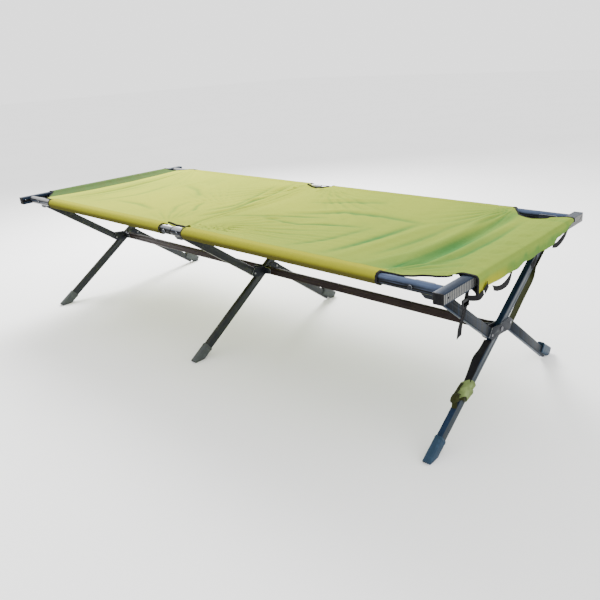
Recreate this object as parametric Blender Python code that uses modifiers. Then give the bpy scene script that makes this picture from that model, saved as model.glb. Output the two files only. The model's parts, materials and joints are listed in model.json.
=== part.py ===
"""Folding camping cot: crossed legs, hinged side rails, end bars and a cloth bed.

X runs along the bed, +X to the right end, Y from the near side to the far side, +Z up.
The origin is on the floor under the middle of the bed. All values are metres and radians.
"""

import math

import bmesh
import bpy
from mathutils import Matrix, Vector

# Overall layout
OVERALL_LENGTH = 1.900      # over the two end bars
BAR_LENGTH = 0.720          # end bar with its caps
RAIL_HEIGHT = 0.429         # floor to rail axis
LEG_INSET = 0.065           # end leg set in from the end bar's outer face
BAR_OVERHANG = 0.040        # end bar's end past a rail's axis

# Side rails
RAIL_OD = 0.026
RAIL_WALL = 0.0015
HINGE_OFFSET = 0.032        # leg set plane to the rail and brace hinge pins
PEG_DIAMETER = 0.008
PEG_LENGTH = 0.014
PEG_CHAMFER = 0.001
PLUG_DEPTH = 0.020
PLUG_FLANGE = 0.0015

# Legs and braces
LEG_DEPTH = 0.026           # in the plane of the crossing
LEG_WIDTH = 0.016           # along the bed
TUBE_WALL = 0.0015
BRACE_HEIGHT = 0.025
BRACE_WIDTH = 0.013
TUBE_CORNER = 0.003

# Hinges, pins and plates
PIN_DIAMETER = 0.008        # pins through the leg crossings
PIN_HEAD = 0.013
HEAD_THICKNESS = 0.002
RIVET_DIAMETER = 0.006      # leg tops, rails and braces
RIVET_HEAD = 0.011
PLATE = 0.0025
CHEEK = 0.003               # brackets beside the rails
CHEEK_HALF_HEIGHT = 0.008
CHEEK_CORNER = 0.005
CHEEK_FOOT = 0.014          # half the width of a cheek at its foot
CRANK_CLEARANCE = 0.001     # leg A beside the halves of leg B when folded
STOP_CLEARANCE = 0.0007     # leg A against the joint bracket when open
SOCKET_START = 0.033        # joint bracket to the ends of leg B
SOCKET_LENGTH = 0.016
PLUG_LENGTH = 0.018
LEG_TOP_OVERHANG = 0.006    # leg tube past its top pin
BRACE_OVERHANG = 0.008      # brace tube past its pins
EAR_RADIUS = 0.009
EAR_CORNER = 0.006
CLEVIS_CORNER = 0.004

# Feet
FOOT_LIFT = 0.0145          # leg tube's end above the floor
BOOT_WALL = 0.002
BOOT_HEIGHT = 0.034
BOOT_TOE = 0.0095

# End bars
BAR_SIZE = 0.025
BAR_WALL = 0.002
BAR_SLOT = 0.0094
CAP_THICKNESS = 0.003
CAP_PLUG = 0.010
BAR_HOLE = 0.005
BAR_HOLE_INSET = 0.019
CAP_CORNER = 0.002

# Cloth
CLOTH = 0.0012
SLEEVE_OD = 0.029
SLEEVE_INSET = 0.185        # sleeves end this far in from the end bars' outer faces
CUTOUT_HALF = 0.055         # sleeves are cut away round the centre hinges
CUTOUT_INSET = 0.018
BED_SAG = 0.016             # below the rails' line, half way to the end
HINGE_SAG = 0.009           # at the centre hinges
POCKET_NEAR_INSET = 0.080   # end pockets in from the rails' axes
POCKET_FAR_INSET = 0.036
CREASE_REACH = 0.200        # from the hinges to the full sag
SCALLOP = 0.068             # cut in the bed's far edge at the right end
FLAP_DROP = 0.040           # right pocket's loose flap below the bar's top
FLAP_FAR_DROP = 0.020
FLAP_RISE = (0.72, 0.92)    # the flap grows shorter between these shares of its width
FLAP_FOLD = 0.004
FLAP_FOLDS = 7
FLAP_COLUMNS = 35
FLAP_ROWS = 6
BED_COLUMNS = 20
BED_ROWS = 10
STRIP_COLUMNS = 4

# Straps
BAND_WIDTH = 0.025
BAND_THICKNESS = 0.002
BAND_START = 0.062          # up leg A from the crossing
BAND_END = 0.290
WRAP_START = 0.168          # down leg A from the crossing
WRAP_LENGTH = 0.068
WRAP_WALL = 0.003
LOOSE_START = 0.052         # loose length between the crossing and the wrap
LOOSE_BULGE = 0.010
BAND_WAVE = 0.15
BAND_STEPS = 8
WEBBING_WIDTH = 0.014
WEBBING_THICKNESS = 0.0015
WEBBING_DROP = 0.098
WEBBING_SLANT = 0.050
WEBBING_BEND = 0.7
BUCKLE_DROP = 0.028
WEBBING_STEPS = 5
BUCKLE_SIZE = (0.006, 0.026, 0.018)
BUCKLE_CORNER = 0.003

# Fits
SEAT = 0.0003               # between pieces that touch
RUN = 0.0005                # beside parts that turn
HOLE = 0.0006               # hole over pin, on the diameter
SHARP_ANGLE = math.radians(40)

# Worked out from the dimensions above
RAIL_Y = BAR_LENGTH / 2 - BAR_OVERHANG
LEG_SPACING = OVERALL_LENGTH / 2 - LEG_INSET    # middle leg set to end leg set
SLEEVE_END = OVERALL_LENGTH / 2 - SLEEVE_INSET
POCKET_NEAR = POCKET_NEAR_INSET - RAIL_Y
POCKET_FAR = RAIL_Y - POCKET_FAR_INSET
PIVOT_HEIGHT = RAIL_HEIGHT / 2
LEAN_A = math.atan2(RAIL_Y, PIVOT_HEIGHT)
CHEEK_OUTER = RAIL_Y - RAIL_OD / 2 - RUN
CHEEK_INNER = CHEEK_OUTER - CHEEK
CHEEK_MIDDLE = CHEEK_OUTER - CHEEK / 2
TOP_SWEEP = math.hypot(LEG_TOP_OVERHANG, LEG_DEPTH / 2)
TOP_PIN_Y = CHEEK_INNER - TOP_SWEEP - RUN
TOP_REACH = TOP_PIN_Y / math.sin(LEAN_A)
TOP_PIN_Z = PIVOT_HEIGHT + TOP_REACH * math.cos(LEAN_A)
CHEEK_LOW = TOP_PIN_Z - EAR_RADIUS - RUN
CRANK = LEG_DEPTH + CRANK_CLEARANCE
LEAN_B = LEAN_A - math.asin(CRANK / TOP_REACH)
TOP_REACH_B = math.sqrt(TOP_REACH ** 2 - CRANK ** 2)
BAR_INNER = OVERALL_LENGTH / 2 - BAR_SIZE
BAR_MIDDLE = BAR_INNER + BAR_SIZE / 2
RAIL_END = BAR_INNER - SEAT - PLUG_FLANGE
FAR_HINGE = LEG_SPACING - HINGE_OFFSET # rail and brace hinge pins at the end leg sets
CHEEK_X = LEG_WIDTH / 2 + RUN          # inner faces of the joint bracket's cheeks
CLEVIS_X = CHEEK_X + PLATE + RUN       # base plates of the brace clevises
HEAD_X = CLEVIS_X + PLATE + SEAT
SLEEVE_TOP = RAIL_HEIGHT + SLEEVE_OD / 2
BED_EDGE = SLEEVE_TOP + SEAT + CLOTH / 2
POCKET_TOP = RAIL_HEIGHT + BAR_SIZE / 2 + SEAT + CLOTH / 2

NEAR, FAR = -1, 1
LEFT, RIGHT = -1, 1
SIDES = {"near": NEAR, "far": FAR}
ENDS = {"left": LEFT, "right": RIGHT}
SETS = {"left": -LEG_SPACING, "middle": 0.0, "right": LEG_SPACING}

MATERIALS = {
    "anodised": ((0.035, 0.042, 0.060), 0.38, 0.80),
    "bar_alloy": ((0.300, 0.320, 0.350), 0.42, 0.85),
    "bracket_steel": ((0.060, 0.060, 0.072), 0.45, 0.70),
    "rivet_steel": ((0.350, 0.350, 0.360), 0.35, 0.90),
    "boot_rubber": ((0.014, 0.014, 0.015), 0.75, 0.0),
    "cap_plastic": ((0.018, 0.018, 0.020), 0.55, 0.0),
    "olive_cloth": ((0.330, 0.350, 0.130), 0.85, 0.0),
    "olive_webbing": ((0.110, 0.130, 0.045), 0.90, 0.0),
    "black_webbing": ((0.012, 0.012, 0.013), 0.85, 0.0),
}


# Scene, collections, materials and joint empties

def clear_scene():
    for item in list(bpy.data.objects):
        bpy.data.objects.remove(item, do_unlink=True)


def new_collection(name):
    collection = bpy.data.collections.new(name)
    bpy.context.scene.collection.children.link(collection)
    return collection


clear_scene()
COT = new_collection("camping_cot")
CUTTERS = new_collection("cutters")
PIVOTS = {}


def material(name):
    """The named Principled material, made on first use."""
    if name in bpy.data.materials:
        return bpy.data.materials[name]
    colour, roughness, metallic = MATERIALS[name]
    made = bpy.data.materials.new(name)
    made.use_nodes = True
    shader = made.node_tree.nodes["Principled BSDF"]
    shader.inputs["Base Color"].default_value = (*colour, 1.0)
    shader.inputs["Roughness"].default_value = roughness
    shader.inputs["Metallic"].default_value = metallic
    return made


def add_pivot(name, point, parent=None):
    """An empty on a joint's axis, which carries the pieces that turn about it."""
    empty = bpy.data.objects.new("pivot_" + name, None)
    empty.empty_display_size = 0.02
    empty.location = Vector(point)
    COT.objects.link(empty)
    if parent:
        empty.parent = PIVOTS[parent][0]
        empty.matrix_parent_inverse = Matrix.Translation(-PIVOTS[parent][1])
    PIVOTS[name] = (empty, Vector(point))


def put(piece, name, slot, pivot):
    """Name a finished piece, give it its material and hang it on its pivot."""
    piece.name = name
    piece.data.name = name
    piece.data.materials.clear()
    piece.data.materials.append(material(slot))
    piece.data.shade_smooth()
    piece.data.set_sharp_from_angle(angle=SHARP_ANGLE)
    empty, point = PIVOTS[pivot]
    piece.parent = empty
    piece.matrix_parent_inverse = Matrix.Translation(-point)
    return piece


# Shapes

def circle(radius, sides=16):
    """Points round a circle, with flats up and down."""
    turns = [2 * math.pi * (i + 0.5) / sides for i in range(sides)]
    return [(radius * math.cos(turn), radius * math.sin(turn)) for turn in turns]


def rectangle(width, height, centre=(0.0, 0.0)):
    u, v = width / 2, height / 2
    return [(centre[0] + a, centre[1] + b) for a, b in ((-u, -v), (u, -v), (u, v), (-u, v))]


def rounded(points, radius, steps=2):
    """The outline with each corner turned to an arc of the radius, at most half a side long."""
    result = []
    count = len(points)
    for i, corner in enumerate(points):
        corner = Vector(corner)
        before = Vector(points[i - 1]) - corner
        after = Vector(points[(i + 1) % count]) - corner
        half = before.angle(after) / 2
        reach = min(radius / math.tan(half), 0.49 * before.length, 0.49 * after.length)
        start = corner + before.normalized() * reach
        end = corner + after.normalized() * reach
        for k in range(steps + 1):
            t = k / steps
            point = start.lerp(corner, t).lerp(corner.lerp(end, t), t)
            result.append((point.x, point.y))
    return result


# Columns are the outline's own u and v axes and the way it is extruded
FLAT = Matrix(((1, 0, 0), (0, 1, 0), (0, 0, 1)))
ACROSS = Matrix(((0, 0, 1), (1, 0, 0), (0, 1, 0)))      # drawn in Y and Z, extruded along X
SIDE_ON = Matrix(((1, 0, 0), (0, 0, -1), (0, 1, 0)))    # drawn in X and Z, extruded along Y


def prism(loops, thickness, centre=(0, 0, 0), frame=FLAT, turn=0.0):
    """A flat outline with its holes, extruded by the thickness about the centre.

    turn is the angle about X that the finished piece is turned by.
    """
    curve = bpy.data.curves.new("outline", "CURVE")
    curve.dimensions = "2D"
    curve.fill_mode = "BOTH"
    curve.extrude = thickness / 2
    for loop in loops:
        spline = curve.splines.new("POLY")
        spline.points.add(len(loop) - 1)
        for point, (u, v) in zip(spline.points, loop):
            point.co = (u, v, 0.0, 1.0)
        spline.use_cyclic_u = True
    drawn = bpy.data.objects.new("outline", curve)
    COT.objects.link(drawn)
    evaluated = drawn.evaluated_get(bpy.context.evaluated_depsgraph_get())
    mesh = bpy.data.meshes.new_from_object(evaluated)
    bpy.data.objects.remove(drawn, do_unlink=True)
    bpy.data.curves.remove(curve)
    weld(mesh)
    mesh.transform(frame.to_4x4())
    solid = bpy.data.objects.new("solid", mesh)
    solid.location = Vector(centre)
    solid.rotation_euler = (turn, 0.0, 0.0)
    COT.objects.link(solid)
    return solid


def weld(mesh):
    """Join the loose caps of a mesh that was made from a curve."""
    shape = bmesh.new()
    shape.from_mesh(mesh)
    bmesh.ops.remove_doubles(shape, verts=shape.verts, dist=1e-6)
    bmesh.ops.recalc_face_normals(shape, faces=shape.faces)
    shape.to_mesh(mesh)
    shape.free()


def rod(diameter, length, centre, axis, sides=12):
    """A plain round rod along X or Y."""
    radius = diameter / 2
    shape = bmesh.new()
    bmesh.ops.create_cone(shape, cap_ends=True, segments=sides, radius1=radius, radius2=radius, depth=length)
    mesh = bpy.data.meshes.new("rod")
    shape.to_mesh(mesh)
    shape.free()
    mesh.transform(Matrix.Rotation(math.pi / 2, 4, "Y" if axis == "X" else "X"))
    solid = bpy.data.objects.new("rod", mesh)
    solid.location = Vector(centre)
    COT.objects.link(solid)
    return solid


def turned(profile, centre, way, sides=12):
    """A round piece along X, or -X, from its half profile of (radius, distance along the axis)."""
    mesh = bpy.data.meshes.new("turned")
    edges = [(i, i + 1) for i in range(len(profile) - 1)]
    mesh.from_pydata([(radius, 0.0, distance) for radius, distance in profile], edges, [])
    solid = bpy.data.objects.new("turned", mesh)
    COT.objects.link(solid)
    screw = solid.modifiers.new("Turn", "SCREW")
    screw.axis = "Z"
    screw.steps = sides
    screw.render_steps = sides
    screw.use_merge_vertices = True
    screw.merge_threshold = 0.0001
    solid.location = Vector(centre)
    solid.rotation_euler = (0.0, way * math.pi / 2, 0.0)
    return solid


def combine(piece, tool, operation):
    """Cut the tool from the piece, or join it on. The tool stays hidden with the cutters."""
    for collection in list(tool.users_collection):
        collection.objects.unlink(tool)
    CUTTERS.objects.link(tool)
    tool.hide_render = True
    tool.display_type = "WIRE"
    tool.name = "tool"
    change = piece.modifiers.new(operation.title(), "BOOLEAN")
    change.operation = operation
    change.solver = "EXACT"
    change.object = tool
    return piece


def cut(piece, *tools):
    for tool in tools:
        combine(piece, tool, "DIFFERENCE")
    return piece


def join(piece, *tools):
    for tool in tools:
        combine(piece, tool, "UNION")
    return piece


def cloth_sheet(columns, rows, place):
    """A sheet of cloth of even thickness through the points place(s, t), with s and t from 0 to 1."""
    shape = bmesh.new()
    bmesh.ops.create_grid(shape, x_segments=columns, y_segments=rows, size=0.5)
    for vertex in shape.verts:
        vertex.co = Vector(place(vertex.co.x + 0.5, vertex.co.y + 0.5))
    mesh = bpy.data.meshes.new("cloth")
    shape.to_mesh(mesh)
    shape.free()
    solid = bpy.data.objects.new("cloth", mesh)
    COT.objects.link(solid)
    thicken = solid.modifiers.new("Thickness", "SOLIDIFY")
    thicken.thickness = CLOTH
    thicken.offset = 0.0
    thicken.use_even_offset = True
    return solid


# Points in the crossing plane of a leg set, as (Y, Z)

def up_a(reach, offset=0.0):
    """Along leg A from the crossing, up towards the far rail, offset to its upper side."""
    y = reach * math.sin(LEAN_A) - offset * math.cos(LEAN_A)
    return y, PIVOT_HEIGHT + reach * math.cos(LEAN_A) + offset * math.sin(LEAN_A)


def up_b(reach, offset=0.0):
    """Along leg B from the crossing, up towards the near rail, offset down and to the near side."""
    y = -reach * math.sin(LEAN_B) - offset * math.cos(LEAN_B)
    return y, PIVOT_HEIGHT + reach * math.cos(LEAN_B) - offset * math.sin(LEAN_B)


# Pivots: one for each body that moves

def add_pivots():
    add_pivot("hub_middle", (0.0, 0.0, PIVOT_HEIGHT))
    for end, along in ENDS.items():
        add_pivot("brace_" + end, (along * HINGE_OFFSET, 0.0, PIVOT_HEIGHT), "hub_middle")
        add_pivot("hub_" + end, (along * FAR_HINGE, 0.0, PIVOT_HEIGHT), "brace_" + end)
    for name, x in SETS.items():
        for leg in "ab":
            add_pivot(f"leg_{leg}_{name}", (x, 0.0, PIVOT_HEIGHT), "hub_" + name)
    for side, way in SIDES.items():
        leg = "b" if way == NEAR else "a"
        add_pivot("centre_" + side, (0.0, way * TOP_PIN_Y, TOP_PIN_Z), f"leg_{leg}_middle")
        for end, along in ENDS.items():
            hinge = (along * HINGE_OFFSET, way * RAIL_Y, RAIL_HEIGHT)
            add_pivot(f"rail_{side}_{end}", hinge, "centre_" + side)
            leg_top = (along * LEG_SPACING, way * TOP_PIN_Y, TOP_PIN_Z)
            add_pivot(f"saddle_{side}_{end}", leg_top, f"leg_{leg}_{end}")
    for end, along in ENDS.items():
        add_pivot("bar_" + end, (along * BAR_INNER, 0.0, RAIL_HEIGHT), "rail_near_" + end)


# Rails with their plugs and sleeves

def hinge_mitre(way, along):
    """The wedge cut off the upper corner of a rail's inner end, so that it clears the other rail.

    The rails fold upwards, and the uncut lower corners butt together when the cot lies open.
    """
    radius = RAIL_OD / 2
    swing = HINGE_OFFSET - SEAT
    relief = HINGE_OFFSET - math.sqrt(swing ** 2 - radius ** 2)
    start = Vector((SEAT, -SEAT))
    slope = Vector((relief, radius)) - start
    bottom, top = start - slope, start + 2 * slope
    outline = [(along * x, z) for x, z in (bottom, top, (-RAIL_OD, top.y), (-RAIL_OD, bottom.y))]
    return prism([outline], 2 * RAIL_OD, (0, way * RAIL_Y, RAIL_HEIGHT), SIDE_ON)


def round_tube(outer_diameter, wall, start, stop, way, along):
    """A tube on a rail's line, between two distances from the middle."""
    outer = outer_diameter / 2
    centre = (along * (start + stop) / 2, way * RAIL_Y, RAIL_HEIGHT)
    return prism([circle(outer), circle(outer - wall)], stop - start, centre, ACROSS)


def build_rail(side, end):
    way, along = SIDES[side], ENDS[end]
    pivot = f"rail_{side}_{end}"
    tube = round_tube(RAIL_OD, RAIL_WALL, SEAT, RAIL_END, way, along)
    for x in (HINGE_OFFSET, FAR_HINGE):
        cut(tube, rod(RIVET_DIAMETER + HOLE, 2 * RAIL_OD, (along * x, way * RAIL_Y, RAIL_HEIGHT), "Y"))
    cut(tube, hinge_mitre(way, along))
    put(tube, pivot, "anodised", pivot)

    sleeve = round_tube(SLEEVE_OD, CLOTH, CUTOUT_HALF, SLEEVE_END, way, along)
    put(sleeve, f"sleeve_{side}_{end}", "olive_cloth", pivot)


def build_rail_plug(side, end):
    """The plug in a rail's outer end: a body in the tube, a flange on its end and a peg for the bar."""
    way, along = SIDES[side], ENDS[end]
    body = RAIL_OD / 2 - RAIL_WALL - SEAT
    flange = RAIL_OD / 2
    peg = PEG_DIAMETER / 2
    tip = PLUG_FLANGE + PEG_LENGTH
    profile = [(0.0, tip), (peg - PEG_CHAMFER, tip), (peg, tip - PEG_CHAMFER), (peg, PLUG_FLANGE)]
    profile += [(flange, PLUG_FLANGE), (flange, SEAT), (body, SEAT), (body, -PLUG_DEPTH), (0.0, -PLUG_DEPTH)]
    plug = turned(profile, (along * RAIL_END, way * RAIL_Y, RAIL_HEIGHT), along, 16)
    put(plug, f"rail_plug_{side}_{end}", "cap_plastic", f"rail_{side}_{end}")


# Brackets at the tops of the legs

def leg_top_ears(x, way):
    """Two ears round a leg's top, with the pin that the leg turns on."""
    corners = rectangle(CHEEK_MIDDLE - TOP_PIN_Y + EAR_RADIUS, 2 * EAR_RADIUS,
                        (way * (CHEEK_MIDDLE + TOP_PIN_Y - EAR_RADIUS) / 2, TOP_PIN_Z))
    outline = rounded(corners, EAR_CORNER)
    ears = [prism([outline], PLATE, (x + face * (CHEEK_X + PLATE / 2), 0, 0), ACROSS) for face in (-1, 1)]
    length = 2 * (CHEEK_X + PLATE) + HEAD_THICKNESS
    return ears + [rod(RIVET_DIAMETER, length, (x, way * TOP_PIN_Y, TOP_PIN_Z), "X")]


def rail_pin(x, way):
    """A pin from the bracket's cheek through the rail, with its head on the outside."""
    head = RAIL_Y + RAIL_OD / 2 + RUN
    middle = head + HEAD_THICKNESS / 2
    centre = (x, way * (CHEEK_MIDDLE + middle) / 2, RAIL_HEIGHT)
    stem = rod(RIVET_DIAMETER, middle - CHEEK_MIDDLE, centre, "Y")
    return [stem, rod(RIVET_HEAD, HEAD_THICKNESS, (x, way * middle, RAIL_HEIGHT), "Y")]


def rail_cheek(outline, way):
    """The plate that stands just inside a rail, from its outline in X and Z."""
    return prism([rounded(outline, CHEEK_CORNER)], CHEEK, (0, way * CHEEK_MIDDLE, 0), SIDE_ON)


def build_centre_bracket(side):
    way = SIDES[side]
    reach = HINGE_OFFSET + CHEEK_HALF_HEIGHT
    low, top = RAIL_HEIGHT - CHEEK_HALF_HEIGHT, RAIL_HEIGHT + CHEEK_HALF_HEIGHT
    left_half = [(-reach, top), (-reach, low), (-CHEEK_FOOT, CHEEK_LOW)]
    right_half = [(-x, z) for x, z in reversed(left_half)]
    cheek = rail_cheek(left_half + right_half, way)
    join(cheek, *leg_top_ears(0.0, way))
    for along in (LEFT, RIGHT):
        join(cheek, *rail_pin(along * HINGE_OFFSET, way))
    put(cheek, "centre_bracket_" + side, "bracket_steel", "centre_" + side)


def build_saddle(side, end):
    way, along = SIDES[side], ENDS[end]
    x = along * LEG_SPACING
    inboard = FAR_HINGE - CHEEK_HALF_HEIGHT
    outboard = LEG_SPACING + CHEEK_FOOT
    low, top = RAIL_HEIGHT - CHEEK_HALF_HEIGHT, RAIL_HEIGHT + CHEEK_HALF_HEIGHT
    outline = [(inboard, low), (LEG_SPACING - CHEEK_FOOT, CHEEK_LOW), (outboard, CHEEK_LOW), (outboard, top)]
    outline.append((inboard, top))
    cheek = rail_cheek([(along * u, v) for u, v in outline], way)
    join(cheek, *leg_top_ears(x, way), *rail_pin(along * FAR_HINGE, way))
    put(cheek, f"saddle_{side}_{end}", "bracket_steel", f"saddle_{side}_{end}")


# Legs

def leg_tube(length, centre, turn):
    outer = rounded(rectangle(LEG_WIDTH, LEG_DEPTH), TUBE_CORNER)
    inner = rectangle(LEG_WIDTH - 2 * TUBE_WALL, LEG_DEPTH - 2 * TUBE_WALL)
    return prism([outer, inner], length, centre, FLAT, turn)


def pin_hole(diameter, x, point):
    return rod(diameter + HOLE, 4 * LEG_WIDTH, (x, *point), "X")


def build_boot(name, x, point, turn, pivot, down):
    """A rubber boot round a leg's end. point(reach) runs down the leg, and its tube ends at down."""
    toe = down + FOOT_LIFT / math.cos(turn) + BOOT_TOE
    heel = down - BOOT_HEIGHT
    width, depth = LEG_WIDTH + 2 * SEAT, LEG_DEPTH + 2 * SEAT
    outline = rounded(rectangle(width + 2 * BOOT_WALL, depth + 2 * BOOT_WALL), TUBE_CORNER + BOOT_WALL)
    boot = prism([outline], toe - heel, (x, *point((toe + heel) / 2)), FLAT, turn)
    mouth, bottom = heel - BOOT_HEIGHT, down + SEAT
    centre = (x, *point((bottom + mouth) / 2))
    cut(boot, prism([rectangle(width, depth)], bottom - mouth, centre, FLAT, turn))
    foot_y = point(down)[0]
    cut(boot, prism([rectangle(6 * depth, 6 * depth)], 2 * depth, (x, foot_y, -depth)))
    put(boot, name, "boot_rubber", pivot)


def build_leg_a(name, x):
    pivot = "leg_a_" + name
    down = (PIVOT_HEIGHT - FOOT_LIFT) / math.cos(LEAN_A)
    top = TOP_REACH + LEG_TOP_OVERHANG
    tube = leg_tube(top + down, (x, *up_a((top - down) / 2)), -LEAN_A)
    cut(tube, pin_hole(PIN_DIAMETER, x, up_a(0.0)), pin_hole(RIVET_DIAMETER, x, up_a(TOP_REACH)))
    put(tube, pivot, "anodised", pivot)
    build_boot("boot_near_" + name, x, lambda reach: up_a(-reach), -LEAN_A, pivot, down)


def build_leg_b(name, x):
    pivot = "leg_b_" + name
    start = SOCKET_START + SEAT
    top = TOP_REACH_B + LEG_TOP_OVERHANG
    upper = leg_tube(top - start, (x, *up_b((top + start) / 2, CRANK)), LEAN_B)
    cut(upper, pin_hole(RIVET_DIAMETER, x, up_b(TOP_REACH_B, CRANK)))
    put(upper, "leg_b_upper_" + name, "anodised", pivot)

    down = (PIVOT_HEIGHT + CRANK * math.sin(LEAN_B) - FOOT_LIFT) / math.cos(LEAN_B)
    lower = leg_tube(down - start, (x, *up_b(-(down + start) / 2, -CRANK)), LEAN_B)
    put(lower, "leg_b_lower_" + name, "anodised", pivot)
    build_boot("boot_far_" + name, x, lambda reach: up_b(-reach, -CRANK), LEAN_B, pivot, down)


# Crossings: the cranked bracket, its pin and the clevises

def across_b(points, thickness, x):
    """A plate or block square to X, from an outline drawn along and across leg B."""
    return prism([[up_b(along, across) for along, across in points]], thickness, (x, 0, 0), ACROSS)


def both_ways(points):
    """The points, then the same points turned half a turn about the crossing."""
    return points + [(-along, -across) for along, across in points]


def build_joint_bracket(name, x):
    """Two cheeks beside leg A, joined by a block at each end that a half of leg B plugs on.

    Distances are along leg B, upwards, and across it, towards its upper half. Leg A lies at the
    angle between the legs, and the blocks' inner faces, parallel to it, stop it when the cot is open.
    """
    between = LEAN_A + LEAN_B
    half = LEG_DEPTH / 2
    low, high = CRANK - half, CRANK + half
    inner_width, outer_width = 2 * CHEEK_X, 2 * (CHEEK_X + PLATE)
    clear = 4 * SOCKET_START

    def leg_face(across):
        return (half + STOP_CLEARANCE - across * math.cos(between)) / math.sin(between)

    far_end = SOCKET_START + SOCKET_LENGTH
    arm = half - TUBE_CORNER
    outline = both_ways([(arm, -arm), (far_end, low), (far_end, high), (leg_face(high), high)])
    bracket = across_b(outline, outer_width, x)
    step = low - RUN
    cavity = both_ways([(leg_face(low), step), (clear, step), (clear, -clear), (-leg_face(clear), -clear)])
    cut(bracket, across_b(cavity, inner_width, x))
    for way in (1, -1):
        centre = (way * (clear + SOCKET_START) / 2, way * CRANK)
        slot = rectangle(clear - SOCKET_START, LEG_DEPTH + 4 * RUN, centre)
        cut(bracket, across_b(slot, LEG_WIDTH + 2 * SEAT, x))
    shrink = 2 * (TUBE_WALL + SEAT)
    for way in (1, -1):
        centre = (way * (SOCKET_START + PLUG_LENGTH / 2 - RUN), way * CRANK)
        join(bracket, across_b(rectangle(PLUG_LENGTH, LEG_DEPTH - shrink, centre), LEG_WIDTH - shrink, x))
    cut(bracket, pin_hole(PIN_DIAMETER, x, up_b(0.0)))
    put(bracket, "joint_bracket_" + name, "bracket_steel", "leg_b_" + name)


def build_joint_pin(name, x):
    """The pin through a crossing. It has a clevis under its head on each side that carries a brace."""
    bare = CHEEK_X + PLATE + SEAT
    left = bare if name == "left" else HEAD_X
    right = bare if name == "right" else HEAD_X
    stem, rim = PIN_DIAMETER / 2, PIN_HEAD / 2
    dome = rim - HEAD_THICKNESS / 2
    right_edge, right_top = right + HEAD_THICKNESS / 2, right + HEAD_THICKNESS
    left_edge, left_top = -left - HEAD_THICKNESS / 2, -left - HEAD_THICKNESS
    profile = [(0.0, right_top), (dome, right_top), (rim, right_edge), (rim, right), (stem, right)]
    profile += [(stem, -left), (rim, -left), (rim, left_edge), (dome, left_top), (0.0, left_top)]
    put(turned(profile, (x, 0.0, PIVOT_HEIGHT), RIGHT), "joint_pin_" + name, "rivet_steel", "hub_" + name)


def build_clevis(name, x, along, pivot):
    """The fork on a joint pin that holds one end of a brace. along is the way to the brace."""
    lug_y = BRACE_WIDTH / 2 + RUN + PLATE / 2
    middle = CLEVIS_X + PLATE / 2
    tip = HINGE_OFFSET + EAR_RADIUS
    foot = rounded(rectangle(2 * lug_y + PLATE, BRACE_HEIGHT, (0.0, PIVOT_HEIGHT)), CAP_CORNER)
    clevis = prism([foot], PLATE, (x + along * middle, 0, 0), ACROSS)
    upper_half = [(middle, BRACE_HEIGHT / 2), (tip, EAR_RADIUS)]
    lower_half = [(u, -v) for u, v in reversed(upper_half)]
    lug = [(x + along * u, PIVOT_HEIGHT + v) for u, v in upper_half + lower_half]
    for way in (-1, 1):
        join(clevis, prism([rounded(lug, CLEVIS_CORNER)], PLATE, (0, way * lug_y, 0), SIDE_ON))
    pin_length = 2 * lug_y + PLATE + HEAD_THICKNESS
    join(clevis, rod(RIVET_DIAMETER, pin_length, (x + along * HINGE_OFFSET, 0, PIVOT_HEIGHT), "Y"))
    cut(clevis, pin_hole(PIN_DIAMETER, x, (0.0, PIVOT_HEIGHT)))
    put(clevis, name, "bracket_steel", pivot)


def build_brace(end):
    along = ENDS[end]
    start, stop = HINGE_OFFSET - BRACE_OVERHANG, FAR_HINGE + BRACE_OVERHANG
    outer = rounded(rectangle(BRACE_WIDTH, BRACE_HEIGHT), TUBE_CORNER)
    inner = rectangle(BRACE_WIDTH - 2 * TUBE_WALL, BRACE_HEIGHT - 2 * TUBE_WALL)
    tube = prism([outer, inner], stop - start, (along * (start + stop) / 2, 0, PIVOT_HEIGHT), ACROSS)
    for x in (HINGE_OFFSET, FAR_HINGE):
        cut(tube, rod(RIVET_DIAMETER + HOLE, 4 * BRACE_WIDTH, (along * x, 0, PIVOT_HEIGHT), "Y"))
    put(tube, "brace_" + end, "anodised", "brace_" + end)


# End bars

def build_bar(end):
    """A square channel with a slot along its inner face, which the rail pegs go into."""
    along = ENDS[end]
    outer, inner, slot = BAR_SIZE / 2, BAR_SIZE / 2 - BAR_WALL, BAR_SLOT / 2
    upper_half = [(-outer, slot), (-inner, slot), (-inner, inner), (inner, inner)]
    lower_half = [(u, -v) for u, v in reversed(upper_half)]
    outside = [(-outer, -outer), (outer, -outer), (outer, outer), (-outer, outer)]
    section = [(along * (BAR_MIDDLE + u), v) for u, v in upper_half + lower_half + outside]
    channel = prism([section], BAR_LENGTH - 2 * (CAP_THICKNESS + SEAT), (0, 0, RAIL_HEIGHT), SIDE_ON)
    for way in (-1, 1):
        hole = (along * (BAR_MIDDLE + outer), way * (BAR_LENGTH / 2 - BAR_HOLE_INSET), RAIL_HEIGHT)
        cut(channel, rod(BAR_HOLE, BAR_SIZE / 2, hole, "X"))
    put(channel, "end_bar_" + end, "bar_alloy", "bar_" + end)


def build_bar_cap(side, end):
    way, along = SIDES[side], ENDS[end]
    middle = (along * BAR_MIDDLE, 0.0)
    plate = rounded(rectangle(BAR_SIZE, BAR_SIZE, middle), CAP_CORNER)
    plate_y = (BAR_LENGTH - CAP_THICKNESS) / 2
    cap = prism([plate], CAP_THICKNESS, (0, way * plate_y, RAIL_HEIGHT), SIDE_ON)
    size = BAR_SIZE - 2 * (BAR_WALL + SEAT)
    plug_middle = (0, way * (plate_y - CAP_PLUG / 2), RAIL_HEIGHT)
    join(cap, prism([rectangle(size, size, middle)], CAP_PLUG, plug_middle, SIDE_ON))
    put(cap, f"bar_cap_{side}_{end}", "cap_plastic", "bar_" + end)


# Cloth

def smooth(value):
    value = min(max(value, 0.0), 1.0)
    return value * value * (3 - 2 * value)


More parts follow.
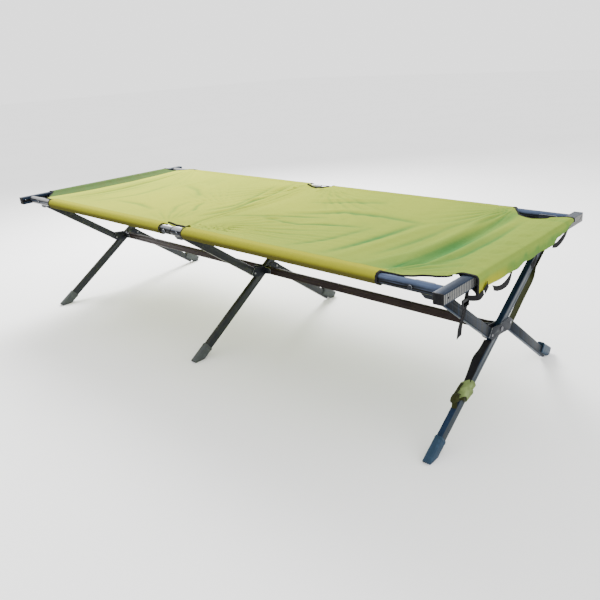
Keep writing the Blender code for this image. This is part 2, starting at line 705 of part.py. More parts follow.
def bed_height(x, y):
    """Middle of the cloth's thickness: it sags between the rails and rises to the right bar."""
    across = y / RAIL_Y
    lift = smooth((x - SLEEVE_END) / (BAR_INNER - SLEEVE_END)) if x > 0 else 0.0
    sag = HINGE_SAG + (BED_SAG - HINGE_SAG) * smooth((abs(x) - CUTOUT_HALF) / CREASE_REACH)
    edge = BED_EDGE + (POCKET_TOP - BED_EDGE) * smooth((abs(x) - SLEEVE_END) / (BAR_INNER - SLEEVE_END))
    return edge - sag * (1 - lift) * (1 - across * across)


def bed_edges(x):
    """Near and far edges of the bed: cut away at the hinges, drawn in towards the end pockets."""
    near, far = -RAIL_Y, RAIL_Y
    reach = abs(x)
    if reach < CUTOUT_HALF:
        near, far = -RAIL_Y + CUTOUT_INSET, RAIL_Y - CUTOUT_INSET
    if reach > SLEEVE_END:
        t = (reach - SLEEVE_END) / (BAR_INNER - SLEEVE_END)
        near += (POCKET_NEAR + RAIL_Y) * t * t
        far += (POCKET_FAR - RAIL_Y) * t * t
        if x > 0:
            far -= SCALLOP * math.sin(math.pi * t)
    return near, far


def fold_line(y):
    """The inner edge of a bed half, which stands at the middle strip when the half is folded up."""
    return HINGE_OFFSET - CLOTH / 2 - (bed_height(0.0, y) - RAIL_HEIGHT)


def bed_sheet(columns, station):
    """Part of the bed, through the lines x = station(column, y)."""
    def place(s, t):
        column = round(s * columns)
        near, far = bed_edges(station(column, 0.0))
        y = near + (far - near) * t
        x = station(column, y)
        return x, y, bed_height(x, y)

    return cloth_sheet(columns, BED_ROWS, place)


def build_bed(end):
    """One half of the bed, from the strip in the middle to the end bar's pocket."""
    along = ENDS[end]
    last = BAR_INNER - SEAT - CLOTH - SEAT
    steps = BED_COLUMNS - 2
    lines = [CUTOUT_HALF - CLOTH]
    lines += [CUTOUT_HALF + (last - CUTOUT_HALF) * i / steps for i in range(steps + 1)]

    def station(column, y):
        return along * (lines[column - 1] if column else fold_line(y))

    sheet = bed_sheet(len(lines), station)
    if along == LEFT:
        sheet.data.flip_normals()
    put(sheet, "bed_" + end, "olive_cloth", "rail_near_" + end)


def build_bed_middle():
    """The strip of the bed between its two halves."""
    def station(column, y):
        return (2 * column / STRIP_COLUMNS - 1) * (fold_line(y) - SEAT)

    put(bed_sheet(STRIP_COLUMNS, station), "bed_middle", "olive_cloth", "centre_near")


def build_left_pocket():
    """The pocket that the left end bar is pushed through: a snug square tube of cloth."""
    inner = BAR_SIZE + 2 * SEAT
    outer = inner + 2 * CLOTH
    middle = (-BAR_MIDDLE, 0.0)
    loops = [rounded(rectangle(outer, outer, middle), TUBE_CORNER), rectangle(inner, inner, middle)]
    centre = (0, (POCKET_NEAR + POCKET_FAR) / 2, RAIL_HEIGHT)
    pocket = prism(loops, POCKET_FAR - POCKET_NEAR, centre, SIDE_ON)
    put(pocket, "pocket_left", "olive_cloth", "bar_left")


def build_right_pocket():
    """The loose pocket on the right end bar: over the bar's top, then hanging in folds outside it."""
    outer_x = BAR_INNER + BAR_SIZE + SEAT + CLOTH / 2
    start, stop = FLAP_RISE

    def place(s, t):
        row = round(t * FLAP_ROWS)
        y = POCKET_NEAR + (POCKET_FAR - POCKET_NEAR) * s
        if row == 0:
            return BAR_INNER - SEAT - CLOTH, y, POCKET_TOP
        drop = FLAP_DROP + (FLAP_FAR_DROP - FLAP_DROP) * smooth((s - start) / (stop - start))
        down = drop * (row - 1) / (FLAP_ROWS - 1)
        sway = FLAP_FOLD * smooth(down / FLAP_DROP)
        return outer_x + sway * (1 + math.sin(2 * math.pi * FLAP_FOLDS * s)), y, POCKET_TOP - down

    flap = cloth_sheet(FLAP_COLUMNS, FLAP_ROWS, place)
    put(flap, "pocket_right", "olive_cloth", "bar_right")


# Straps at the right end

def build_storage_band():
    """The upper length of the storage strap, tucked in under leg A with a wavy lower edge."""
    face = -LEG_DEPTH / 2 - SEAT
    outline = [up_a(BAND_START, face), up_a(BAND_END, face)]
    for i in range(BAND_STEPS + 1):
        t = i / BAND_STEPS
        width = BAND_WIDTH * (1 - BAND_WAVE * math.sin(2 * math.pi * t))
        outline.append(up_a(BAND_END + (BAND_START - BAND_END) * t, face - width))
    band = prism([outline], BAND_THICKNESS, (SETS["right"], 0, 0), ACROSS)
    put(band, "strap_band", "olive_webbing", "leg_a_right")


def build_storage_wrap():
    """The storage strap's lower length: loose on top of leg A, then wrapped round it."""
    x = SETS["right"]
    width, depth = LEG_WIDTH + 2 * SEAT, LEG_DEPTH + 2 * SEAT
    outer = rounded(rectangle(width + 2 * WRAP_WALL, depth + 2 * WRAP_WALL), TUBE_CORNER + SEAT)
    centre = (x, *up_a(-WRAP_START - WRAP_LENGTH / 2))
    wrap = prism([outer, rectangle(width, depth)], WRAP_LENGTH, centre, FLAT, -LEAN_A)
    stop = WRAP_START + WRAP_WALL
    under, over = [], []
    for i in range(BAND_STEPS + 1):
        t = i / BAND_STEPS
        reach = LOOSE_START + (stop - LOOSE_START) * t
        lift = depth / 2 + LOOSE_BULGE * math.sin(math.pi * t) ** 2
        under.append(up_a(-reach, lift))
        over.append(up_a(-reach, lift + BAND_THICKNESS))
    join(wrap, prism([under + over[::-1]], BAND_WIDTH, (x, 0, 0), ACROSS))
    put(wrap, "strap_wrap", "olive_webbing", "leg_a_right")


def build_webbing():
    """The black strap and buckle that hang from the right bar at the near end of its pocket."""
    top = RAIL_HEIGHT - BAR_SIZE / 2 - SEAT

    def centre(drop):
        return POCKET_NEAR - WEBBING_SLANT * (drop / WEBBING_DROP) ** WEBBING_BEND, top - drop

    middle = [centre(WEBBING_DROP * i / WEBBING_STEPS) for i in range(WEBBING_STEPS + 1)]
    outline = [(y - WEBBING_WIDTH / 2, z) for y, z in middle]
    outline += [(y + WEBBING_WIDTH / 2, z) for y, z in reversed(middle)]
    strap = prism([outline], WEBBING_THICKNESS, (BAR_MIDDLE, 0, 0), ACROSS)
    put(strap, "webbing_strap", "black_webbing", "bar_right")
    depth, width, height = BUCKLE_SIZE
    buckle_x = BAR_MIDDLE + WEBBING_THICKNESS / 2 + SEAT + depth / 2
    outline = rounded(rectangle(width, height, centre(BUCKLE_DROP)), BUCKLE_CORNER)
    put(prism([outline], depth, (buckle_x, 0, 0), ACROSS), "webbing_buckle", "cap_plastic", "bar_right")


def build_cot():
    add_pivots()
    for side in SIDES:
        build_centre_bracket(side)
        for end in ENDS:
            build_rail(side, end)
            build_rail_plug(side, end)
            build_saddle(side, end)
            build_bar_cap(side, end)
    for name, x in SETS.items():
        build_leg_a(name, x)
        build_leg_b(name, x)
        build_joint_bracket(name, x)
        build_joint_pin(name, x)
    for end, along in ENDS.items():
        build_brace(end)
        build_clevis("clevis_middle_" + end, 0.0, along, "hub_middle")
        build_clevis("clevis_end_" + end, along * LEG_SPACING, -along, "hub_" + end)
        build_bar(end)
        build_bed(end)
    build_bed_middle()
    build_left_pocket()
    build_right_pocket()
    build_storage_band()
    build_storage_wrap()
    build_webbing()


build_cot()
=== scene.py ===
"""Cloth, straps, rubber and finishes of a folding camping cot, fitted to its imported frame.

X runs along the bed, +X to the end with the straps, Y from the near rail to the far rail, +Z up.
Everything is in metres.
"""

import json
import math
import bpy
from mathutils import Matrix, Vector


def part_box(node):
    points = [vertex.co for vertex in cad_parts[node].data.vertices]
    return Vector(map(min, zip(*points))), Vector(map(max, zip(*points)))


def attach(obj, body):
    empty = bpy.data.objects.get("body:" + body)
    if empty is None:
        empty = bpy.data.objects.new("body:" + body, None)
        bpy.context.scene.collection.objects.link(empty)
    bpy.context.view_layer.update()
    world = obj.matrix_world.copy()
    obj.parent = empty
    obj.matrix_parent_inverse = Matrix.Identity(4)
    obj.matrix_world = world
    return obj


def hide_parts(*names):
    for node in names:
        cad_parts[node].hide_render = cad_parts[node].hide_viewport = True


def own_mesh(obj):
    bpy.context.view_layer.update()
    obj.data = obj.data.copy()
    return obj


bl_info = {
    "name": "Camping cot",
    "version": (1, 0, 0),
    "blender": (4, 5, 0),
    "location": "3D View > Sidebar > Cot",
    "description": "Sews the bed, straps and boots of a folding camping cot on to its frame",
    "category": "Object",
}

import bmesh
import bpy
from bpy.props import FloatProperty, FloatVectorProperty, PointerProperty
from mathutils import Matrix, Vector, noise

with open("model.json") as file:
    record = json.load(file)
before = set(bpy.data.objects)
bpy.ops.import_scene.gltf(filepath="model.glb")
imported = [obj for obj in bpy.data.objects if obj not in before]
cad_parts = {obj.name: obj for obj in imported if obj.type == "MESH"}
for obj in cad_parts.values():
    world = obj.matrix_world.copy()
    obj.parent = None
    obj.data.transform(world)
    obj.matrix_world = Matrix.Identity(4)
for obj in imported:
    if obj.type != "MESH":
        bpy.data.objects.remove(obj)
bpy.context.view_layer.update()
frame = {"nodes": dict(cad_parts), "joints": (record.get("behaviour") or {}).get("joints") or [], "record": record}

SIDES = {"near": -1, "far": 1}
ENDS = {"left": -1, "right": 1}
SETS = ("left", "middle", "right")


# Sizes read from the frame

def box(node):
    """Lowest and highest corners of a node, as vectors."""
    low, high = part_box(node)
    return Vector(low), Vector(high)


def middle(node):
    low, high = box(node)
    return (low + high) / 2


def lean_of(node):
    """Lean from upright of a straight tube, along its longest edge."""
    mesh = frame["nodes"][node].data
    ends = [[mesh.vertices[i].co for i in edge.vertices] for edge in mesh.edges]
    longest = max((first - second for first, second in ends), key=lambda run: run.length)
    return math.atan2(abs(longest.y), abs(longest.z))


RAIL = Vector((0.0, -middle("rail_near_right").y, middle("rail_near_right").z))
SLEEVE_LOW, SLEEVE_HIGH = box("sleeve_near_right")
SLEEVE_RADIUS = (SLEEVE_HIGH.z - SLEEVE_LOW.z) / 2
SLEEVE_END = SLEEVE_HIGH.x
CUTOUT = SLEEVE_LOW.x       # half length of the gap between the sleeves at the hinges
HINGE_X = next(joint["pos_m"][0] for joint in frame["joints"] if joint["name"] == "fold_right")
HINGE_INSET = RAIL.y - box("bed_middle")[1].y       # the bed is cut back this far at the hinges
BAR_LOW, BAR_HIGH = box("end_bar_right")
BAR_X = (BAR_LOW.x + BAR_HIGH.x) / 2
POCKET_NEAR, POCKET_FAR = (corner.y for corner in box("pocket_left"))
CROSSING_Z = middle("joint_pin_right").z
LEG_X = middle("leg_a_right").x
LEAN = {"near": lean_of("leg_a_right"), "far": lean_of("leg_b_lower_right")}

# Sizes of the cloth

CLOTH = 0.0010              # thickness of the bed and the pockets
THREAD = 0.0011             # one over-and-under of the cloth's weave
STITCH = 0.0065             # a stitch and the gap after it
HEM = 0.0205                # from a rail's axis in to the row of stitches beside it
RIB_PITCH = 0.0066          # ribs across the end bars' sides
EDGE_RADIUS = SLEEVE_RADIUS + 0.0009                # of the bed's cloth, round a rail and its sleeve
EDGE_Z = RAIL.z + EDGE_RADIUS
BED_END = BAR_LOW.x - 0.017                         # where a bed half ends, under the pocket
SEAM = 0.886                                        # where the pockets are sewn to the bed
FOLD_EDGE = 0.02                                    # about the mean of that curved edge
CUT_START = 0.026                                   # the first straight row of cloth after it
END_WIDTH = 0.57                                    # mean width of the bed past the sleeves
HINGE_WIDTH = 0.604                                 # and between the hinge cut-outs
HINGE_SCOOP = 0.009         # how much further the bed is cut back in the middle of a hinge
HINGE_DIP = 0.006           # how much lower its free edge hangs there
FAR_SCOOP = 0.068           # how far the far edge is drawn in between its rail and the right pocket
BED_ROWS = 128
BED_COLUMNS = 146
END_COLUMNS = 32
WRAP_STEPS = 24
WRAP_ANGLE = 250            # degrees of cloth round a rail
WRAP_PITCH = 0.0032         # length of cloth between two lines of that turn
SPLINE_STEPS = 3            # cloth points for each point of a pocket's outline
SMOOTH_ANGLE = math.radians(35)
SOFT_ANGLE = math.radians(60)


# Shader maths

class Wire:
    """A shader socket. Arithmetic on it adds Math nodes."""

    def __init__(self, finish, socket):
        self.finish = finish
        self.socket = socket

    def maths(self, operation, *values):
        return self.finish.node("ShaderNodeMath", dict(enumerate(values)), operation=operation)

    def __add__(self, other):
        return self.maths("ADD", self, other)

    def __sub__(self, other):
        return self.maths("SUBTRACT", self, other)

    def __rsub__(self, other):
        return self.maths("SUBTRACT", other, self)

    def __mul__(self, other):
        return self.maths("MULTIPLY", self, other)

    __radd__ = __add__
    __rmul__ = __mul__

    def sine(self):
        return self.maths("SINE", self)

    def size(self):
        return self.maths("ABSOLUTE", self)

    def span(self, low, high, start=0.0, stop=1.0):
        """This value mapped from low..high to start..stop, and held between them."""
        return self.finish.node("ShaderNodeMapRange", {0: self, 1: low, 2: high, 3: start, 4: stop},
                                interpolation_type="SMOOTHSTEP")


class Finish:
    """A material and the nodes that make it."""

    def __init__(self, name, **surface):
        self.material = bpy.data.materials.new(name)
        self.material.use_nodes = True
        self.tree = self.material.node_tree
        self.shader = self.tree.nodes["Principled BSDF"]
        for socket, value in surface.items():
            self.feed(self.shader.inputs[socket.replace("_", " ")], value)

    def feed(self, socket, value):
        if isinstance(value, Wire):
            self.tree.links.new(value.socket, socket)
        elif socket.type == "RGBA":
            socket.default_value = (*value[:3], 1.0)
        else:
            socket.default_value = value

    def node(self, kind, sockets=None, output=0, **settings):
        """A node with its settings, then its sockets' values or links."""
        made = self.tree.nodes.new(kind)
        for name, value in settings.items():
            setattr(made, name, value)
        for name, value in (sockets or {}).items():
            self.feed(made.inputs[name], value)
        return Wire(self, made.outputs[output])

    def place(self, turn=(0.0, 0.0, 0.0), scale=(1.0, 1.0, 1.0)):
        """Object coordinates, turned and stretched."""
        coordinates = self.node("ShaderNodeTexCoord", output=3)
        sockets = {"Vector": coordinates, "Rotation": turn, "Scale": scale}
        return self.node("ShaderNodeMapping", sockets, vector_type="POINT")

    def split(self, vector):
        """The three parts of a vector."""
        parts = self.node("ShaderNodeSeparateXYZ", {0: vector}).socket.node
        return [Wire(self, socket) for socket in parts.outputs]

    def along_cloth(self):
        """The cloth's own coordinates in metres, and their parts along it and across it."""
        vector = self.node("ShaderNodeUVMap", uv_map="cloth")
        return vector, *self.split(vector)[:2]

    def tone(self, name):
        """A value that is kept in the mesh."""
        return self.node("ShaderNodeAttribute", output=2, attribute_name=name)

    def noise(self, vector, scale, detail=2.0, roughness=0.5):
        sockets = {"Vector": vector, "Scale": scale, "Detail": detail, "Roughness": roughness}
        return self.node("ShaderNodeTexNoise", sockets)

    def mix(self, factor, first, second, blend="MIX"):
        sockets = {0: factor, 6: first, 7: second}
        return self.node("ShaderNodeMix", sockets, output=2, data_type="RGBA", blend_type=blend)

    def paint(self, colour):
        self.feed(self.shader.inputs["Base Color"], colour)

    def finish(self, colour, gloss, height, distance, strength):
        """Join the colour, the roughness and the bump to the surface, and give the material."""
        self.paint(colour)
        self.feed(self.shader.inputs["Roughness"], gloss)
        sockets = {"Height": height, "Distance": distance, "Strength": strength}
        self.feed(self.shader.inputs["Normal"], self.node("ShaderNodeBump", sockets))
        return self.material


def tint(colour, share):
    return [share * value for value in colour]


# Finishes

def cloth_finish(name, colours, stitched=()):
    """Coated plain-weave cloth: threads, slubs, painted shade in the folds, ochre sleeves and rows of stitches.

    The fold shade attribute paints shade, from 0, taut cloth, to 1, a fold in full green shade, and sleeve goes
    from 0, the bed, to 1, the top of a sleeve, and 2, its underside in painted shade.
    """
    cloth = Finish(name, Sheen_Weight=0.06, Sheen_Roughness=0.5, Sheen_Tint=(0.70, 0.80, 0.15),
                   Specular_IOR_Level=0.0)
    vector, along, across = cloth.along_cloth()
    warp = (along * (math.tau / THREAD)).sine()
    weft = (across * (math.tau / THREAD)).sine()
    slubs = cloth.noise(cloth.node("ShaderNodeMapping", {"Vector": vector, "Scale": (30.0, 900.0, 1.0)}), 1.0)
    broad = cloth.noise(vector, 3.2, 3.0)
    mottle = cloth.noise(vector, 60.0, 4.0, 0.6)
    sleeve = cloth.tone("sleeve")
    painted = cloth.mix(broad.span(0.35, 0.7) * 0.12, colours["taut"], colours["green_shade"])
    # painted shade: folds, grooves, the valley by the right bar and the right end shaded towards the greener
    # colour
    painted = cloth.mix(cloth.tone("hollow"), painted, colours["green_shade"])
    painted = cloth.mix(sleeve.span(0.0, 1.0), painted, colours["sleeve"])
    # painted shade: the undersides of sleeves and the cloth under the right bar, darkened towards the under colour
    painted = cloth.mix(sleeve.span(1.0, 2.0), painted, colours["under"])
    shade = mottle * 0.16 + slubs * 0.10 + 0.87
    shades = cloth.node("ShaderNodeCombineColor", {0: shade, 1: shade, 2: shade})
    painted = cloth.mix(1.0, painted, shades, "MULTIPLY")
    height = warp * weft * 0.5 + slubs * 0.4
    for row in stitched:
        line = (across - row).size()
        dash = (along * (math.tau / STITCH)).sine()
        thread = (1.0 - line.span(0.0004, 0.0009)) * dash.span(-0.5, -0.1)
        pinch = 1.0 - line.span(0.0, 0.004)
        painted = cloth.mix(thread * 0.75, painted, tint(colours["green_shade"], 0.55))
        height = height + thread * 1.5 - pinch * 2.5
    return cloth.finish(painted, mottle.span(0.3, 0.7, 0.62, 0.78), height, 0.00022, 0.55)


def webbing_finish(name, colour, edge):
    """Narrow woven tape: ribs across it, a herringbone, worn patches and fuzz."""
    tape = Finish(name, Sheen_Weight=0.04, Sheen_Roughness=0.6, Specular_IOR_Level=0.03)
    vector, along, across = tape.along_cloth()
    ribs = (along * (math.tau / 0.0016)).sine()
    herring = (along * (math.tau / 0.0032) + across.size() * (math.tau / 0.004)).sine()
    fuzz = tape.noise(vector, 900.0, 2.0)
    worn = tape.noise(vector, 40.0, 3.0)
    painted = tape.mix(worn.span(0.35, 0.75) * 0.6, colour, edge)
    painted = tape.mix(ribs.span(-0.2, 0.9) * 0.35, painted, tint(colour, 0.6))
    height = ribs * 0.6 + herring * 0.3 + fuzz * 0.5
    return tape.finish(painted, fuzz.span(0.3, 0.7, 0.78, 0.95), height, 0.00035, 0.7)


def tube_finish(name, colour, side=None, low=None, turn=(0.0, 0.0, 0.0), stretch=(6.0, 260.0, 260.0),
                metal=0.3, coat=0.03):
    """Drawn and anodised alloy: faint lines along the tube, dull patches and small scuffs.

    side is the painted light or shade on the faces marked rim, and low the painted shade under a rail.
    """
    alloy = Finish(name, Metallic=metal, Specular_IOR_Level=0.03, Coat_Weight=coat, Coat_Roughness=0.14)
    lines = alloy.noise(alloy.place(turn, stretch), 1.0, 3.0, 0.6)
    patches = alloy.noise(alloy.place(), 22.0, 4.0, 0.6)
    specks = alloy.noise(alloy.place(), 420.0, 2.0, 0.7)
    scuffs = alloy.noise(alloy.place(turn, tint(stretch, 0.3)), 1.0, 4.0, 0.7)
    painted = alloy.mix(patches.span(0.3, 0.75), colour, tint(colour, 1.5))
    # painted shade and highlight: a rail is painted dark on its lower half, and left of the middle its upper part
    # darker under a painted highlight along its top
    if low:
        along, _, up = alloy.split(alloy.place())
        height = up + (patches - 0.5) * 0.004
        shaded = 1.0 - along.span(0.1, 0.5)
        gleam = height.span(RAIL.z + 0.0055, RAIL.z + 0.0095)
        painted = alloy.mix(shaded, painted, tint(low, 0.6))
        painted = alloy.mix(shaded * gleam, painted, (0.20, 0.20, 0.195))
        painted = alloy.mix(height.span(RAIL.z + 0.002, RAIL.z + 0.011), low, painted)
    # painted light and shade: a leg's marked flat sides take the side colour
    if side:
        painted = alloy.mix(alloy.tone("rim"), painted, side)
    painted = alloy.mix(lines.span(0.45, 0.75) * 0.5, painted, tint(colour, 2.2))
    painted = alloy.mix(scuffs.span(0.66, 0.82) * 0.35, painted, (0.10, 0.105, 0.115))
    painted = alloy.mix(specks.span(0.7, 0.78) * 0.25, painted, (0.10, 0.10, 0.11))
    gloss = lines * 0.16 + patches * 0.14 + 0.18
    return alloy.finish(painted, gloss, lines + specks * 0.4, 0.00012, 0.5)


def bar_finish(name, colour, crest):
    """Extruded bar stock: a smooth top, and sides with fine ribs across their length; the outer side is painted
    light, lightest on the rib crests.
    """
    alloy = Finish(name, Metallic=0.3, Specular_IOR_Level=0.04, Coat_Weight=0.02, Coat_Roughness=0.2)
    out, length, height = alloy.split(alloy.place())
    face = 1.0 - (height - RAIL.z).size().span(0.0096, 0.0108)
    face = face * out.size().span(BAR_X + 0.006, BAR_X + 0.008)
    ribs = (length * (math.tau / RIB_PITCH)).sine().span(-0.45, 0.15)
    grime = alloy.noise(alloy.place(), 90.0, 4.0, 0.6)
    lines = alloy.noise(alloy.place(scale=(300.0, 8.0, 300.0)), 1.0, 3.0)
    painted = alloy.mix(grime.span(0.35, 0.75) * 0.5, colour, tint(colour, 1.6))
    # painted light on the outer side: light rib crests and darker gaps, both lighter than the bar
    painted = alloy.mix(face * ribs, painted, crest)
    painted = alloy.mix(face * (1.0 - ribs) * 0.9, painted, (0.035, 0.038, 0.044))
    painted = alloy.mix(grime.span(0.6, 0.8) * face * 0.5, painted, colour)
    gloss = grime * 0.2 + lines * 0.12 + 0.22
    return alloy.finish(painted, gloss, ribs * face * 3.0 + lines * 0.3, 0.00035, 0.8)


def steel_finish(name, colour, bare=(0.30, 0.31, 0.34)):
    """Pressed and plated steel: rolled grain, specks of wear, and cut edges left bright."""
    steel = Finish(name, Metallic=0.25, Specular_IOR_Level=0.04)
    grain = steel.noise(steel.place(), 260.0, 3.0, 0.6)
    patches = steel.noise(steel.place(), 45.0, 3.0)
    wear = steel.noise(steel.place(), 130.0, 5.0, 0.7)
    painted = steel.mix(patches.span(0.3, 0.7) * 0.5, colour, tint(colour, 1.8))
    painted = steel.mix(wear.span(0.62, 0.72) * 0.4, painted, tint(bare, 0.5))
    painted = steel.mix(steel.tone("rim") * wear.span(0.25, 0.5), painted, bare)
    gloss = grain * 0.2 + patches * 0.12 + 0.22
    return steel.finish(painted, gloss, grain + wear * 0.7, 0.00015, 0.5)


def moulded_finish(name, colour, gloss, grain_size):
    """Moulded rubber or plastic: a spark-eroded grain, dust in its hollows."""
    moulded = Finish(name, Specular_IOR_Level=0.08)
    grain = moulded.noise(moulded.place(), grain_size, 3.0, 0.6)
    dust = moulded.noise(moulded.place(), 70.0, 4.0, 0.6)
    painted = moulded.mix(dust.span(0.45, 0.8) * 0.3, colour, [2.5 * value + 0.01 for value in colour])
    return moulded.finish(painted, dust.span(0.3, 0.7, gloss - 0.08, gloss + 0.1), grain, 0.0002, 0.6)


# Hand tools

def deselect():
    if bpy.context.mode != "OBJECT":
        bpy.ops.object.mode_set(mode="OBJECT")
    bpy.ops.object.select_all(action="DESELECT")


def hold(piece):
    """Make one object the selected and active one."""
    deselect()
    piece.select_set(True)
    bpy.context.view_layer.objects.active = piece


def set_place():
    """Put the held piece's place in its mesh."""
    bpy.ops.object.transform_apply(location=True, rotation=True, scale=True)
    return bpy.context.object


def block(spot, size, turn=(0.0, 0.0, 0.0)):
    bpy.ops.mesh.primitive_cube_add(size=1.0, location=spot, rotation=turn, scale=size)
    return set_place()


def round_bar(spot, radius, length, corners=48, ends="NOTHING"):
    """A cylinder along X."""
    bpy.ops.mesh.primitive_cylinder_add(vertices=corners, radius=radius, depth=length, end_fill_type=ends,
                                        location=spot, rotation=(0.0, math.pi / 2, 0.0))
    return set_place()


def open_mesh(piece, kind="FACE"):
    hold(piece)
    bpy.ops.object.mode_set(mode="EDIT")
    bpy.ops.mesh.select_mode(type=kind)
    bpy.ops.mesh.select_all(action="SELECT")


def close_mesh():
    bpy.ops.object.mode_set(mode="OBJECT")


def pick(piece, test, kind="FACE"):
    """In edit mode, select the faces whose middle and normal, or edges whose middle and run, pass."""
    bpy.ops.mesh.select_mode(type=kind)
    bpy.ops.mesh.select_all(action="DESELECT")
    shape = bmesh.from_edit_mesh(piece.data)
    shape.select_mode = {kind}
    if kind == "FACE":
        for face in shape.faces:
            face.select_set(bool(test(face.calc_center_median(), face.normal)))
    else:
        for edge in shape.edges:
            first, second = (corner.co for corner in edge.verts)
            edge.select_set(bool(test((first + second) / 2, (first - second).normalized())))
    shape.select_flush_mode()
    bmesh.update_edit_mesh(piece.data)


def modify(piece, kind, **settings):
    """Add a modifier to a piece and apply it."""
    hold(piece)
    added = piece.modifiers.new(kind.title(), kind)
    for name, value in settings.items():
        setattr(added, name, value)
    bpy.ops.object.modifier_apply(modifier=added.name)


def break_edges(piece, width, sharp, segments=2):
    """Round the edges that turn by more than sharp degrees."""
    modify(piece, "BEVEL", width=width, segments=segments, limit_method="ANGLE",
           angle_limit=math.radians(sharp))


def settle(piece, name, angle=SMOOTH_ANGLE):
    """Put the piece's place in its mesh, name it and shade it."""
    hold(piece)
    set_place()
    piece.name = name
    piece.data.name = name
    bpy.ops.object.shade_smooth_by_angle(angle=angle)
    return piece


def fit(piece, body, material, slot, *nodes):
    """Hang a finished piece on a body, in its material and in place of the nodes."""
    piece.data.materials.clear()
    piece.data.materials.append(material)
    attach(piece, body)
    if nodes:
        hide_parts(*nodes)


def follow_rails(piece):
    """Give a piece its own copy of its mesh."""
    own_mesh(piece)


def smooth(value):
    value = min(max(value, 0.0), 1.0)
    return value * value * (3 - 2 * value)


def between(table, value):
    """The height at a value, from a table of (value, height) joined smoothly."""
    if value <= table[0][0]:
        return table[0][1]
    for (start, low), (stop, high) in zip(table, table[1:]):
        if value <= stop:
            return low + (high - low) * smooth((value - start) / (stop - start))
    return table[-1][1]


def sew(name, rows, thickness, skip=None):
    """A sheet of cloth through rows of cells, given its thickness.

    A cell is a point, its mark on the cloth in metres, and its tones of painted fold shade and sleeve, or none.
    """
    shape = bmesh.new()
    layer = shape.loops.layers.uv.new("cloth")
    tones = [shape.verts.layers.float.new(tone) for tone in ("hollow", "sleeve")]
    grid = []
    for row in rows:
        grid.append([shape.verts.new(point) for point, *_ in row])
        for vertex, (_, _, *values) in zip(grid[-1], row):
            for tone, value in zip(tones, values):
                vertex[tone] = value
    for i in range(len(rows) - 1):
        for j in range(len(rows[0]) - 1):
            if skip and skip(i, j):
                continue
            corners = ((i, j), (i + 1, j), (i + 1, j + 1), (i, j + 1))
            face = shape.faces.new([grid[a][b] for a, b in corners])
            for loop, (a, b) in zip(face.loops, corners):
                loop[layer].uv = rows[a][b][1]
    loose = [vertex for vertex in shape.verts if not vertex.link_faces]
    bmesh.ops.delete(shape, geom=loose, context="VERTS")
    mesh = bpy.data.meshes.new(name)
    shape.to_mesh(mesh)
    shape.free()
    piece = bpy.data.objects.new(name, mesh)
    bpy.context.scene.collection.objects.link(piece)
    modify(piece, "SOLIDIFY", thickness=thickness, offset=0.0, use_even_offset=True)
    return settle(piece, name, SOFT_ANGLE)


def steps(count):
    """Shares from 0 to 1, both ends with them."""
    return [i / count for i in range(count + 1)]


def lengths(points):
    """The way along a line of points, from its start to each of them."""
    total = [0.0]
    for first, second in zip(points, points[1:]):
        total.append(total[-1] + (Vector(second) - Vector(first)).length)
    return total


def heading(path, i):
    """The direction of a path at one of its points."""
    return (Vector(path[min(i + 1, len(path) - 1)]) - Vector(path[max(i - 1, 0)])).normalized()


def ribbon(name, path, across, width, thickness, columns=4, cup=0.0):
    """A tape along a path. across(i) is the direction of its width there, and cup how far its edges stand above
    its middle.
    """
    rows = []
    for i, (spot, run) in enumerate(zip(path, lengths(path))):
        side = Vector(across(i)).normalized()
        lift = heading(path, i).cross(side).normalized()
        row = []
        for share in steps(columns):
            s = share - 0.5
            row.append((Vector(spot) + side * width * s + lift * cup * (4 * s * s), (run, width * s)))
        rows.append(row)
    return sew(name, rows, thickness)


def spline(points, count):
    """A smooth line through the points, with a count of steps between them."""
    points = [Vector(point) for point in points]
    ends = [2 * points[0] - points[1]] + points + [2 * points[-1] - points[-2]]
    line = []
    for a, b, c, d in zip(ends, ends[1:], ends[2:], ends[3:]):
        for k in range(count):
            t = k / count
            line.append(0.5 * (2 * b + (c - a) * t + (2 * a - 5 * b + 4 * c - d) * t * t
                               + (3 * b - a - 3 * c + d) * t ** 3))
    return line + [points[-1]]


# The bed's shape

def fold(point, line, width, height):
    """Height of a crease along a line of points in X and Y, fading sideways and at its ends."""
    best, share = 1.0, 0.0
    count = len(line) - 1
    for i in range(count):
        ax, ay = line[i]
        bx, by = line[i + 1]
        dx, dy = bx - ax, by - ay
        t = ((point[0] - ax) * dx + (point[1] - ay) * dy) / (dx * dx + dy * dy)
        t = min(max(t, 0.0), 1.0)
        away = math.hypot(point[0] - ax - t * dx, point[1] - ay - t * dy)
        if away < best:
            best, share = away, (i + t) / count
    if best > 3 * width:
        return 0.0
    return height * math.exp(-(best / width) ** 2) * math.sin(math.pi * min(max(share, 0.02), 0.98)) ** 0.4


def fan(point, corner, toward, spread, count, reach, height):
    """Tension lines that leave a corner towards a direction, in radians, and die away."""
    dx, dy = point[0] - corner[0], point[1] - corner[1]
    away = math.hypot(dx, dy)
    turn = (math.atan2(dy, dx) - toward + math.pi) % math.tau - math.pi
    if abs(turn) > spread or away > 2.5 * reach:
        return 0.0
    edge = math.cos(0.5 * math.pi * turn / spread)
    rise = smooth(away / 0.03) * math.exp(-(away / reach) ** 2)
    return height * rise * edge * math.sin(count * math.pi * turn / spread + 9 * away)


